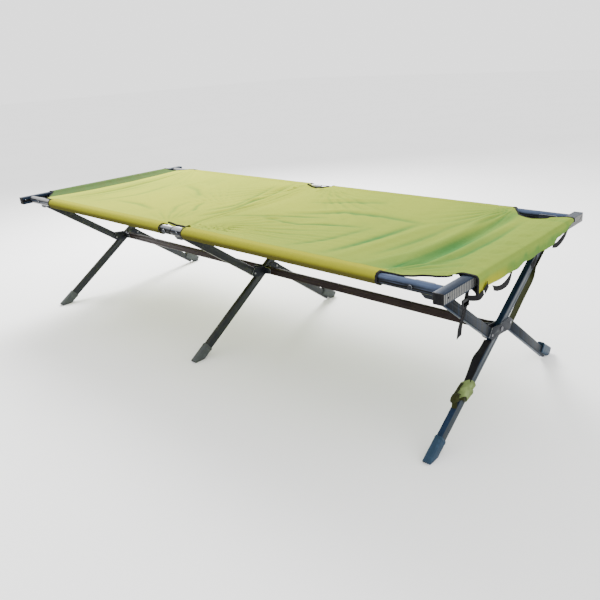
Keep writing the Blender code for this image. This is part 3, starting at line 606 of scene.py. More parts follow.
CREASES = (
    # half width, height, then the points of its line in X and Y
    (0.007, -0.0062, (0.03, -0.3), (0.0, -0.19), (-0.008, -0.067), (-0.003, 0.053), (-0.025, 0.221),
     (0.0, 0.3)),
    (0.009, 0.0036, (0.045, -0.3), (0.016, -0.19), (0.006, -0.06), (0.01, 0.06), (-0.01, 0.22),
     (0.012, 0.29)),
    (0.008, -0.0034, (-0.052, -0.19), (-0.027, -0.09), (-0.069, 0.052), (-0.062, 0.11),
     (-0.113, 0.288)),
    (0.009, 0.003, (-0.07, -0.17), (-0.043, -0.07), (-0.084, 0.06), (-0.132, 0.27)),
    (0.01, -0.0026, (-0.1, -0.12), (-0.075, -0.02), (-0.112, 0.09), (-0.17, 0.24)),
    (0.0075, 0.0032, (-0.028, -0.105), (-0.021, -0.016), (-0.046, 0.111), (-0.074, 0.269)),
    (0.009, -0.0028, (-0.141, -0.149), (-0.212, -0.081), (-0.237, -0.031)),
    (0.01, 0.0026, (-0.165, -0.165), (-0.235, -0.1), (-0.262, -0.03)),
    (0.011, -0.0018, (-0.19, -0.19), (-0.265, -0.13), (-0.3, -0.05)),
    (0.01, -0.003, (0.022, -0.146), (0.125, -0.079), (0.215, -0.02), (0.3, 0.01)),
    (0.01, 0.0026, (0.04, -0.16), (0.14, -0.094), (0.23, -0.035)),
    (0.011, -0.003, (0.143, -0.096), (0.28, -0.085), (0.36, -0.043), (0.46, -0.02)),
    (0.011, 0.0024, (0.15, -0.113), (0.29, -0.103), (0.37, -0.06)),
    (0.014, -0.0026, (0.173, -0.015), (0.305, 0.087), (0.45, 0.1), (0.604, 0.087)),
    (0.014, 0.0024, (0.17, 0.01), (0.29, 0.108), (0.44, 0.125)),
    (0.007, -0.0042, (-0.772, -0.29), (-0.769, -0.149), (-0.78, 0.023), (-0.792, 0.215), (-0.8, 0.29)),
    (0.009, 0.0034, (-0.79, -0.28), (-0.787, -0.1), (-0.8, 0.1), (-0.81, 0.27)),
    (0.006, -0.003, (-0.815, -0.28), (-0.812, -0.1), (-0.826, 0.1), (-0.838, 0.27)),
    (0.01, -0.0026, (-0.722, -0.25), (-0.733, -0.1), (-0.741, 0.05)),
    (0.01, 0.002, (-0.7, -0.25), (-0.712, -0.1), (-0.72, 0.05)),
    (0.013, -0.002, (-0.62, -0.24), (-0.6, -0.08), (-0.64, 0.1)),
    (0.013, 0.002, (-0.55, -0.05), (-0.57, 0.1), (-0.54, 0.24)),
    (0.02, 0.004, (0.603, -0.29), (0.617, -0.056), (0.643, 0.1)),
    (0.018, -0.003, (0.555, -0.27), (0.57, -0.08), (0.59, 0.08)),
    (0.018, 0.0062, (0.7, -0.3), (0.735, -0.16), (0.742, 0.0), (0.735, 0.2), (0.73, 0.29)),
    (0.021, -0.01, (0.765, -0.285), (0.783, -0.2), (0.781, -0.1), (0.778, 0.03), (0.784, 0.12),
     (0.789, 0.27)),
    (0.013, 0.006, (0.765, -0.3), (0.822, -0.22), (0.828, -0.1), (0.826, 0.02), (0.824, 0.18)),
    (0.011, -0.0032, (0.8, -0.27), (0.852, -0.14), (0.855, 0.02), (0.846, 0.2)),
    (0.013, -0.0024, (0.66, -0.22), (0.675, -0.05), (0.69, 0.12)),
    (0.012, 0.0024, (0.12, 0.15), (0.22, 0.21), (0.33, 0.24)),
    (0.012, -0.002, (0.14, 0.12), (0.25, 0.185), (0.37, 0.22)),
    (0.014, 0.0022, (-0.33, 0.05), (-0.42, 0.12), (-0.52, 0.16)),
    (0.014, -0.0018, (-0.34, 0.02), (-0.44, 0.09), (-0.55, 0.12)),
    (0.014, -0.0022, (-0.3, -0.2), (-0.42, -0.17), (-0.55, -0.18)),
    (0.014, -0.002, (0.43, -0.27), (0.47, -0.16), (0.49, -0.02)),
)
FANS = (
    # corner, direction, spread, lines, reach, height
    ((0.055, -0.302), 0.65, 0.75, 9, 0.26, 0.0024),
    ((-0.055, -0.302), 2.4, 0.65, 7, 0.20, 0.0022),
    ((0.055, 0.302), -0.75, 0.65, 6, 0.16, 0.0016),
    ((-0.055, 0.302), -2.0, 0.9, 11, 0.28, 0.0024),
    ((0.02, -0.29), 0.30, 0.32, 9, 0.42, 0.0019),
    ((0.00, 0.29), -0.45, 0.40, 8, 0.40, 0.0015),
    ((-0.10, -0.05), 2.75, 0.5, 8, 0.28, 0.0014),
    ((0.765, -0.32), 1.1, 0.8, 8, 0.15, 0.0020),
    ((0.765, 0.32), -2.0, 0.8, 8, 0.20, 0.0020),
    ((-0.765, 0.32), -1.2, 0.8, 7, 0.16, 0.0018),
    ((-0.765, -0.32), 1.2, 0.8, 7, 0.16, 0.0018),
)
# the line of the painted shade in the valley beside the right bar
VALLEY = ((0.750, -0.30), (0.786, -0.22), (0.788, -0.145), (0.786, -0.025), (0.788, 0.054), (0.795, 0.185),
          (0.79, 0.27))


def bed_edges(x):
    """Near and far edges: scooped away at the hinges, drawn in towards the end pockets."""
    near, far = -RAIL.y, RAIL.y
    if abs(x) < CUTOUT - 1e-6:
        inset = HINGE_INSET + HINGE_SCOOP * math.sqrt(1 - (x / CUTOUT) ** 2)
        return near + inset, far - inset
    if abs(x) > SLEEVE_END:
        t = (abs(x) - SLEEVE_END) / (BAR_LOW.x - SLEEVE_END)
        near += (POCKET_NEAR + RAIL.y) * t * t
        far += (POCKET_FAR - RAIL.y) * t * t
        near += 0.005 * math.sin(4 * math.pi * t) * math.sin(math.pi * t)
        if x > 0:
            far -= FAR_SCOOP * math.sin(math.pi * t)
    return near, far


def bed_base(x, y):
    """The taut bed without its creases. It sags between the rails, and drops to each end bar."""
    across = y / RAIL.y
    end = smooth((abs(x) - SLEEVE_END) / (BAR_LOW.x - SLEEVE_END))
    sag = 0.009 + 0.007 * smooth((abs(x) - CUTOUT) / 0.2)
    drop, flatter = (0.0022, 1.0) if x > 0 else (0.0105, 0.75)
    return EDGE_Z - drop * end - sag * (1 - flatter * end) * (1 - across * across)


def bar_folds(y):
    """Folds that run on to the right bar, and over it."""
    return 0.0013 * math.sin(y * 76 + 1.1 * math.sin(y * 21)) + 0.0007 * math.sin(y * 173 + 0.8)


def bed_height(x, y):
    """The bed's height with its creases, and how much painted fold shade it takes there."""
    wave, groove = 0.0, 0.0
    for width, height, *line in CREASES:
        wave += fold((x, y), line, width, height)
        if height < 0:
            groove = max(groove, fold((x, y), line, 0.75 * width, min(-height / 0.0032, 1.0)))
    pull = sum(fan((x, y), *lines) for lines in FANS)
    wave += pull
    wave += 0.0022 * noise.noise(Vector((4.0 * x, 2.2 * y, 3.1)))
    wave += 0.0012 * noise.noise(Vector((22.0 * x, 9.0 * y, 8.7)))
    wave += smooth((x - 0.84) / 0.08) * bar_folds(y)
    side = 1 - smooth((abs(y) / RAIL.y - 0.86) / 0.14)
    wave *= side if abs(x) < SLEEVE_END else 1 - 0.5 * (1 - side)
    free = smooth(1.5 * (1 - abs(x) / CUTOUT)) * smooth((abs(y) - RAIL.y + 0.085) / 0.05)
    return bed_base(x, y) + wave - HINGE_DIP * free, hollow(x, y, wave, groove, pull)


def hollow(x, y, wave, groove, pull):
    """Painted green shade: in folds, grooves and tension lines, the valley by the bar and the right end, with
    random patches.
    """
    patch = 0.5 + 0.5 * noise.noise(Vector((9.0 * x, 5.0 * y, 1.3)))
    valley = fold((x, y), VALLEY, 0.04, 1.0)
    core = fold((x, y), VALLEY, 0.036, 1.0)
    skirt = fold((x, y), VALLEY, 0.064, 1.0)
    green_shade = 0.20 * smooth(-wave / 0.005) + 0.28 * smooth((x + 0.25) / 0.8) + 0.12 * smooth((x - 0.5) / 0.2)
    green_shade += 0.50 * groove * (1 - valley) * (1 - 0.5 * smooth((x - 0.55) / 0.1))
    green_shade += 0.26 * smooth(-pull / 0.0016)
    green_shade += smooth((0.30 - y) / 0.5) * ((0.04 + 0.10 * patch) * core + 0.24 * skirt)
    green_shade += 0.35 * smooth((x - 0.62) / 0.15) * (patch - 0.5)
    return min(max(green_shade, 0.0), 1.0)


def fold_line(y):
    """Inner edge of a bed half, which stands at the middle strip when the half is folded up."""
    base = EDGE_Z - 0.009 * (1 - (y / RAIL.y) ** 2)
    return HINGE_X - 0.0006 - (base - RAIL.z)


def wrap_lines(way):
    """From the seam inside a rail, round under it and up to its top.

    Each line is its offset from the rail's axis in Y and Z, and its sleeve tone: 1 on the rail's top, rising to 2,
    painted shade, under the rail and at the seam.
    """
    lines = [(-way * 0.0195, 0.0105, 2.0), (-way * 0.0170, 0.0030, 2.0)]
    for i in range(WRAP_STEPS):
        turn = math.radians(-20 - WRAP_ANGLE * i / WRAP_STEPS)
        under = 1 + smooth((0.95 - math.sin(turn)) / 1.35)
        lines.append((-way * EDGE_RADIUS * math.cos(turn), EDGE_RADIUS * math.sin(turn), under))
    return lines


WRAP_POINTS = len(wrap_lines(1))


def wrap_cells(x, way):
    """A row's cells round one rail, from its seam up to its top."""
    cells = []
    for i, (dy, dz, under) in enumerate(wrap_lines(way)):
        ripple = 1 + 0.03 * noise.noise(Vector((30 * x, 60 * dy, 60 * dz)))
        y = way * RAIL.y + dy
        if way > 0 and y > RAIL.y - 0.02:
            under *= smooth((RAIL.y + 0.004 - y) / 0.006)
        mark = (x, way * (RAIL.y + WRAP_PITCH * (WRAP_POINTS - i)))
        cells.append(((x, y, RAIL.z + dz * ripple), mark, 0.0, under))
    return cells


def bed_cells(along, station, shares):
    """A row's cells from rail to rail. Without a station it is the row along the folding edge."""
    cells = []
    for share in shares:
        y = RAIL.y * (2 * share - 1)
        reach = station or fold_line(min(abs(y), RAIL.y - HINGE_INSET))
        near, far = bed_edges(along * reach)
        if reach > SLEEVE_END:
            y = near + (far - near) * share
        elif reach < CUTOUT:
            y *= far / (RAIL.y - HINGE_INSET)
        height, green_shade = bed_height(along * reach, y)
        ochre = smooth((abs(y) - RAIL.y + 0.024) / 0.010) * (1.0 if y < 0 else 0.3)
        ochre *= 1 - smooth((reach - SLEEVE_END) / 0.012)
        ochre *= smooth((reach - CUTOUT + 0.002) / 0.004)
        cells.append(((along * reach, y, height), (along * reach, y), green_shade, ochre))
    return cells


def bed_cloth(end):
    """One half of the bed in a single sheet: round the near rail, across, and round the far rail."""
    along = ENDS[end]
    stations = [None] + [CUT_START + (CUTOUT - CUT_START) * i / 6 - 1e-5 for i in range(7)]
    stations += [CUTOUT + (SLEEVE_END - CUTOUT) * i / BED_COLUMNS for i in range(BED_COLUMNS + 1)]
    stations += [SLEEVE_END + 1e-5]
    stations += [SLEEVE_END + (BED_END - SLEEVE_END) * i / END_COLUMNS for i in range(1, END_COLUMNS + 1)]
    inset = HINGE_INSET / (2 * RAIL.y)
    shares = sorted(steps(BED_ROWS) + [inset, 1 - inset])
    rows = []
    for station in stations:
        x = along * (station or CUTOUT - FOLD_EDGE)
        rows.append(wrap_cells(x, -1) + bed_cells(along, station, shares) + wrap_cells(x, 1)[::-1])
    first, last = WRAP_POINTS, WRAP_POINTS + len(shares) - 1
    inside = first + 9

    def skip(i, j):
        """Past the sleeves there are no wraps, and in the hinge cut-outs no edge strips either."""
        x = abs(rows[i][inside][0][0] + rows[i + 1][inside][0][0]) / 2
        if x < CUTOUT:
            return j <= first or j + 1 >= last
        return x > SLEEVE_END and (j < first or j >= last)

    if along < 0:
        rows.reverse()
    return sew(f"bed_cloth_{end}", rows, CLOTH, skip)


# Settings

def colour(name, description, default):
    return FloatVectorProperty(name=name, description=description, default=default, subtype="COLOR")


def distance(name, description, default):
    return FloatProperty(name=name, description=description, default=default, subtype="DISTANCE")


class ClothSettings(bpy.types.PropertyGroup):
    taut: colour("Cloth", "Colour of the taut cloth", (0.315, 0.345, 0.040))
    # painted shade: the greener colour that folds and the bed's right end are shaded towards, also used for random
    # tone and the stitches
    green_shade: colour("Hollows", "Greener colour of folds and hollows", (0.028, 0.140, 0.042))
    sleeve: colour("Sleeves", "Colour of the rail sleeves' tops", (0.25, 0.250, 0.020))
    # painted shade on the undersides of the sleeves and under the right bar
    under: colour("Undersides", "Colour of the rail sleeves' undersides", (0.052, 0.047, 0.012))
    # painted shade: the left pocket's cloth, darker than the bed as shade on its sloping top
    band: colour("Left pocket", "Colour of the left pocket's cloth", (0.062, 0.080, 0.030))
    binding: distance("Binding", "Width of the tape on cut edges", 0.006)


class FrameSettings(bpy.types.PropertyGroup):
    rail: colour("Rails", "Colour of the round rails", (0.044, 0.060, 0.100))
    leg: colour("Legs", "Colour of the left and middle legs", (0.019, 0.020, 0.017))
    blue: colour("Right legs", "Colour of the bluer legs at the right end", (0.007, 0.015, 0.031))
    # painted light: the legs' flat X sides, lighter than the legs
    side: colour("Leg sides", "Colour of the legs' brushed sides", (0.026, 0.029, 0.031))
    brace: colour("Braces", "Colour of the lengthwise braces", (0.015, 0.011, 0.010))
    bar: colour("End bars", "Colour of the end bars", (0.009, 0.016, 0.030))
    # painted light: the rib crests on the end bars' outer sides
    crest: colour("Bar ribs", "Colour of the ribs on the end bars", (0.16, 0.16, 0.15))
    steel: colour("Brackets", "Colour of the pressed brackets", (0.014, 0.016, 0.020))
    edge: distance("Edge", "Radius broken on cut edges", 0.0004)


class StrapSettings(bpy.types.PropertyGroup):
    # the webbing's olive, painted dark as shade on the strap's shaded lengths
    olive: colour("Storage strap", "Colour of the storage strap", (0.019, 0.022, 0.006))
    # painted light: the same webbing, lighter where its turns are lit
    lit_strap: colour("Faded strap", "Colour of the strap where it is faded", (0.195, 0.265, 0.090))
    black: colour("Black tape", "Colour of the black tapes", (0.006, 0.006, 0.007))
    width: distance("Width", "Width of the storage strap", 0.025)


class StageSettings(bpy.types.PropertyGroup):
    lens: FloatProperty(name="Lens", description="Focal length in millimetres", default=36.18)
    key: FloatProperty(name="Key light", description="Power of the main light in watts", default=200.0)
    fill: FloatProperty(name="Side light", description="Power of the side light in watts", default=16.0)
    world: FloatProperty(name="Surroundings", description="Strength of the surroundings", default=2.0)


def settings(name):
    return getattr(bpy.context.scene, "cot_" + name)


def colours_of(name, *wanted):
    """Some colours of a group of settings, as plain values."""
    return {key: tuple(getattr(settings(name), key)) for key in wanted}


def cloth_material(name="bed_weave"):
    """The bed's, a pocket's or a sleeve's cloth, made when it is first asked for."""
    if name in bpy.data.materials:
        return bpy.data.materials[name]
    colours = colours_of("cloth", "taut", "green_shade", "sleeve", "under")
    rows = ()
    if name == "bed_weave":
        rows = (HEM - RAIL.y, RAIL.y - HEM)
    elif name == "pocket_weave":
        # painted shade: the left pocket's cloth is darker than the bed
        colours["taut"] = tuple(settings("cloth").band)
        rows = (0.004, 0.012)
    return cloth_finish(name, colours, rows)


def tape_material(name):
    if name in bpy.data.materials:
        return bpy.data.materials[name]
    olive, lit_strap, black = colours_of("strap", "olive", "lit_strap", "black").values()
    # two copies of the strap's webbing: the dark olive as painted shade and the lighter one as painted light
    colour_of = {"olive_tape": (olive, tint(olive, 1.8)), "faded_tape": (lit_strap, olive),
                 "black_tape": (black, tint(black, 2.0))}
    return webbing_finish(name, *colour_of[name])


# Pieces

class COT_OT_frame(bpy.types.Operator):
    """Break the edges of tubes, brackets and pins, and give each its metal"""
    bl_idname = "cot.frame"
    bl_label = "Frame"

    BRACKETS = ("saddle", "centre_bracket", "joint_bracket", "clevis")

    def execute(self, context):
        values = colours_of("frame", "rail", "leg", "blue", "side", "brace", "bar", "crest", "steel")
        rail, leg, blue, side, brace, bar, crest, plate = values.values()
        along_a = {"turn": (LEAN["near"], 0.0, 0.0), "stretch": (260.0, 260.0, 6.0)}
        along_b = {"turn": (-LEAN["far"], 0.0, 0.0), "stretch": (260.0, 260.0, 6.0)}
        # painted light and shade on the right legs' flat sides: lighter on the A leg, darker on the cranked ones
        lit_side = [share * value for share, value in zip((1.35, 1.45, 1.6), side)]
        shaded = [share * value for share, value in zip((0.26, 0.30, 0.36), side)]
        cranked = tube_finish("blue_cranked_alloy", blue, shaded, metal=0.05, coat=0.0, **along_b)
        # a node takes the first finish that its name starts with
        finishes = {
            "rail_plug": moulded_finish("plug_plastic", (0.018, 0.018, 0.020), 0.5, 700.0),
            # painted shade under the rails, with a painted highlight on their tops
            "rail": tube_finish("rail_alloy", rail, low=(0.003, 0.003, 0.002), coat=0.06),
            "brace": tube_finish("brace_alloy", brace),
            "leg_a_right": tube_finish("blue_leg_alloy", blue, lit_side, **along_a),
            "leg_a": tube_finish("leg_alloy", leg, side, **along_a),
            "leg_b_upper_right": cranked,
            "leg_b_lower_right": cranked,
            "leg_b": tube_finish("cranked_leg_alloy", leg, side, **along_b),
            "end_bar": bar_finish("bar_alloy", bar, crest),
            "joint_pin": steel_finish("pin_steel", (0.09, 0.09, 0.10)),
        }
        bracket = steel_finish("pressed_steel", plate, (0.20, 0.21, 0.23))
        edge = settings("frame").edge
        for name in sorted(frame["nodes"]):
            kinds = [kind for kind in finishes if name.startswith(kind)]
            if kinds:
                self.dress(name, finishes[kinds[0]], edge)
            elif name.startswith(self.BRACKETS):
                self.dress(name, bracket, edge)
        return {"FINISHED"}

    def dress(self, name, material, edge):
        """Replace a node by a copy with whole faces and broken edges."""
        node = frame["nodes"][name]
        piece = node.copy()
        piece.data = node.data.copy()
        piece.parent = None
        piece.hide_render = False
        bpy.context.scene.collection.objects.link(piece)
        open_mesh(piece, "VERT")
        bpy.ops.mesh.remove_doubles(threshold=0.00002)
        bpy.ops.mesh.dissolve_limited(angle_limit=math.radians(1.0))
        close_mesh()
        if name.startswith("leg") or name.startswith(self.BRACKETS):
            self.mark_rims(piece.data, name.startswith("leg"))
        break_edges(piece, edge, 50)
        settle(piece, name + "_finished", math.radians(30))
        slot = next(part["material_slot"] for part in frame["record"]["subparts"] if part["node"] == name)
        fit(piece, body_of(name), material, slot, name)

    @staticmethod
    def mark_rims(mesh, is_leg):
        """Mark a leg's flat X sides, which take painted light and shade, or the narrow faces along a plate's cut
        edges.
        """
        rim = mesh.attributes.new("rim", "FLOAT", "FACE")
        for face in mesh.polygons:
            corners = [mesh.vertices[i].co for i in face.vertices]
            shortest = min((a - b).length for a, b in zip(corners, corners[1:] + corners[:1]))
            is_side = abs(face.normal.x) > 0.8
            is_cut = shortest < 0.0033 and len(corners) == 4
            if is_side if is_leg else is_cut:
                rim.data[face.index].value = 1.0


def body_of(node):
    for body, nodes in frame["record"]["behaviour"]["bodies"].items():
        if node in nodes:
            return body
    raise ValueError(node)


class COT_OT_bed(bpy.types.Operator):
    """Stretch the two halves of the bed and the strip between them"""
    bl_idname = "cot.bed"
    bl_label = "Bed"

    def execute(self, context):
        wrap = math.radians(WRAP_ANGLE) * EDGE_RADIUS + 0.016       # round a rail and in to the seam
        width = 2 * RAIL.y + 2 * wrap
        area = (SLEEVE_END - CUTOUT) * width + (BED_END - SLEEVE_END) * END_WIDTH
        area += (CUTOUT - FOLD_EDGE) * HINGE_WIDTH
        for end in ENDS:
            piece = bed_cloth(end)
            fit(piece, "rail_near_" + end, cloth_material(), "olive_cloth", "bed_" + end)
            follow_rails(piece)
        self.strip()
        return {"FINISHED"}

    @staticmethod
    def strip():
        """The strip at the hinges, which both halves of the bed fold against."""
        reach = RAIL.y - HINGE_INSET
        rows = []
        for along in steps(8):
            row = []
            for across in steps(BED_ROWS):
                y = -reach + 2 * reach * across
                x = (2 * along - 1) * (fold_line(y) - 0.0003)
                y *= bed_edges(x)[1] / reach
                height, green_shade = bed_height(x, y)
                row.append(((x, y, height), (x, y), green_shade))
            rows.append(row)
        piece = sew("bed_cloth_middle", rows, CLOTH)
        fit(piece, "centre_near", cloth_material(), "olive_cloth", "bed_middle")
        follow_rails(piece)


class COT_OT_sleeves(bpy.types.Operator):
    """Sew a tube of cloth round each half of each rail, with bound mouths"""
    bl_idname = "cot.sleeves"
    bl_label = "Sleeves"

    def execute(self, context):
        for side, way in SIDES.items():
            for end, along in ENDS.items():
                self.tube(f"{side}_{end}", way)
                for mouth, x in (("hinge", CUTOUT), ("end", SLEEVE_END)):
                    self.binding(f"sleeve_binding_{side}_{end}_{mouth}", along * x, way, f"rail_{side}_{end}")
        return {"FINISHED"}

    def tube(self, label, way):
        low, high = box("sleeve_" + label)
        length = high.x - low.x
        piece = round_bar(((low.x + high.x) / 2, way * RAIL.y, RAIL.z), SLEEVE_RADIUS - 0.0004, length)
        settle(piece, "sleeve_cloth_" + label)
        modify(piece, "SOLIDIFY", thickness=0.0009, offset=-1.0, use_even_offset=True)
        self.mark_round(piece, way * RAIL.y)
        # sleeve tone 1.6: the sleeve tubes are painted most of the way to the underside's painted shade
        for spot in piece.data.attributes.new("sleeve", "FLOAT", "POINT").data:
            spot.value = 1.6
        fit(piece, "rail_" + label, cloth_material("sleeve_weave"), "olive_cloth", "sleeve_" + label)

    def binding(self, name, x, way, body):
        """A tape folded round a sleeve's mouth, narrower at the hinges."""
        width = settings("cloth").binding * (0.6 if abs(x) < 0.1 else 1.0)
        piece = round_bar((x, way * RAIL.y, RAIL.z), EDGE_RADIUS + 0.0008, width)
        open_mesh(piece)
        bpy.ops.mesh.subdivide(number_cuts=2)
        close_mesh()
        for vertex in piece.data.vertices:
            turn = math.atan2(vertex.co.z - RAIL.z, vertex.co.y - way * RAIL.y)
            vertex.co.x += 0.0006 * math.sin(5 * turn + 40 * x) + 0.0004 * math.sin(11 * turn)
        modify(piece, "SOLIDIFY", thickness=0.0012, offset=0.0, use_even_offset=True)
        self.mark_round(piece, way * RAIL.y)
        settle(piece, name)
        fit(piece, body, tape_material("black_tape"), "black_webbing")

    @staticmethod
    def mark_round(piece, y):
        """Cloth coordinates for a tube along X: along it, and round it in metres."""
        layer = piece.data.uv_layers.get("cloth") or piece.data.uv_layers.new(name="cloth")
        for loop in piece.data.loops:
            spot = piece.data.vertices[loop.vertex_index].co
            turn = math.atan2(spot.z - RAIL.z, spot.y - y)
            layer.data[loop.index].uv = (spot.x, EDGE_RADIUS * turn)
        piece.data.uv_layers.active = layer


class COT_OT_edging(bpy.types.Operator):
    """Bind the bed's cut edges, at the hinges and at the ends, with black tape"""
    bl_idname = "cot.edging"
    bl_label = "Edging"

    def execute(self, context):
        for end, along in ENDS.items():
            hinge = [along * (0.0215 + (CUTOUT - 0.0245) * i / 12) for i in range(13)]
            for side, way in SIDES.items():
                self.scallop(f"edging_{side}_{end}", way, along, "rail_near_" + end)
                self.cutout(f"hinge_edging_{side}_{end}", way, hinge, "rail_near_" + end)
        for side, way in SIDES.items():
            hinge = [-0.0205 + 0.041 * i / 12 for i in range(13)]
            self.cutout(f"hinge_edging_{side}_middle", way, hinge, "centre_near")
        return {"FINISHED"}

    def scallop(self, name, way, along, body):
        """A tape from a sleeve's mouth to a pocket, along the bed's drawn-in edge."""
        path = []
        for i in range(49):
            x = along * (SLEEVE_END + 0.001 + (BED_END - 0.001 - SLEEVE_END) * i / 48)
            y = bed_edges(x)[0 if way < 0 else 1]
            wobble = 0.0028 * noise.noise(Vector((x * 70, way, 0.3)))
            path.append(Vector((x, y + wobble, bed_height(x, y)[0] - 0.0004)))
        self.tape(name, path, body, 0.0019, 0.8)

    def cutout(self, name, way, stations, body):
        """A tape along a hinge cut-out."""
        path = []
        for x in stations:
            y = way * bed_edges(x)[1]
            path.append(Vector((x, y + way * 0.0010, bed_height(x, y)[0] + 0.0013)))
        self.tape(name, path, body, 0.0031, 1.3)

    @staticmethod
    def tape(name, path, body, half, share):
        """A folded tape over an edge: a flat loop drawn round the path, half of it above."""
        width = share * settings("cloth").binding
        rows = []
        for i, (spot, run) in enumerate(zip(path, lengths(path))):
            side = Vector((0.0, 0.0, 1.0)).cross(heading(path, i)).normalized()
            row = []
            for k in range(13):
                turn = math.tau * k / 12
                point = spot + side * width * 0.5 * math.cos(turn) + Vector((0.0, 0.0, half * math.sin(turn)))
                row.append((point, (run, width * k / 12)))
            rows.append(row)
        piece = sew(name, rows, 0.0005)
        fit(piece, body, tape_material("black_tape"), "black_webbing")
        follow_rails(piece)


def pocket_y(along, x, share):
    """Y at a share of the way across a pocket, which goes on from the bed's edges."""
    near, far = bed_edges(along * min(x, BAR_LOW.x))
    return near + (far - near) * share


def bind_mouths(end, rows, first):
    """A tape folded over the edge of each of a pocket's mouths, from a column of its cells on."""
    for side, row in (("near", rows[0]), ("far", rows[-1])):
        line = [point for point, *_ in row[first:]]
        piece = ribbon(f"pocket_binding_{end}_{side}", line, lambda i: (0.0, 1.0, 0.0), 0.0055, 0.0028)
        fit(piece, "bar_" + end, tape_material("black_tape"), "black_webbing")
        follow_rails(piece)


class COT_OT_left_pocket(bpy.types.Operator):
    """Draw the left pocket round its bar, down to its seam on the bed"""
    bl_idname = "cot.left_pocket"
    bl_label = "Left pocket"

    # Y, and where the pocket's inner edge lies there, as a distance from the middle
    BAND = ((-0.283, 0.868), (-0.121, 0.872), (0.057, 0.875), (0.224, 0.879))

    def execute(self, context):
        rows = [self.cells(share) for share in steps(96)]
        piece = sew("pocket_cloth_left", rows, CLOTH)
        fit(piece, "bar_left", cloth_material("pocket_weave"), "olive_cloth", "pocket_left")
        follow_rails(piece)
        bind_mouths("left", rows, 15)
        return {"FINISHED"}

    def cells(self, share):
        """A row of cells from the bed over the bar, down its outside and back to the seam."""
        gap = 0.0012
        outer, inner = BAR_HIGH.x + gap, BAR_LOW.x - gap
        top, low = BAR_HIGH.z + gap, BAR_LOW.z - gap
        y = pocket_y(-1, inner, share)
        wave = 0.0008 * math.sin(y * 63 + 1.4 * math.sin(y * 17)) + 0.0004 * math.sin(y * 151)
        start = between(self.BAND, y)
        outline = []
        for k in range(6):
            x = start + (SEAM + 0.008 - start) * k / 5
            hem = 0.0012 if k else 0.0002
            outline.append((x, bed_height(-x, pocket_y(-1, x, share))[0] + hem))
        bed = bed_base(-SEAM, y)
        outline += [
            (0.5 * (SEAM + inner) + 0.008, 0.5 * (bed + top) + wave), (inner, top - 0.0006 + wave),
            (inner + 0.004, top + 0.3 * wave), (BAR_X, top), (outer - 0.002, top), (outer, top - 0.002),
            (outer + 0.3 * abs(wave), RAIL.z), (outer, low + 0.002), (outer - 0.002, low),
            (BAR_X, low - abs(wave)), (inner, low - 0.5 * abs(wave)),
            (inner - 0.014, 0.5 * (low + bed) - 0.002), (SEAM + 0.006, bed - 0.0030),
        ]
        section = spline([(-x, pocket_y(-1, x, share), z) for x, z in outline], SPLINE_STEPS)
        # painted shade: a little green shade over the pocket, more where its rucks rise and fall
        green_shade = 0.10 + 0.12 * smooth(abs(wave) / 0.001)
        return [(spot, (y, run), green_shade) for spot, run in zip(section, lengths(section))]


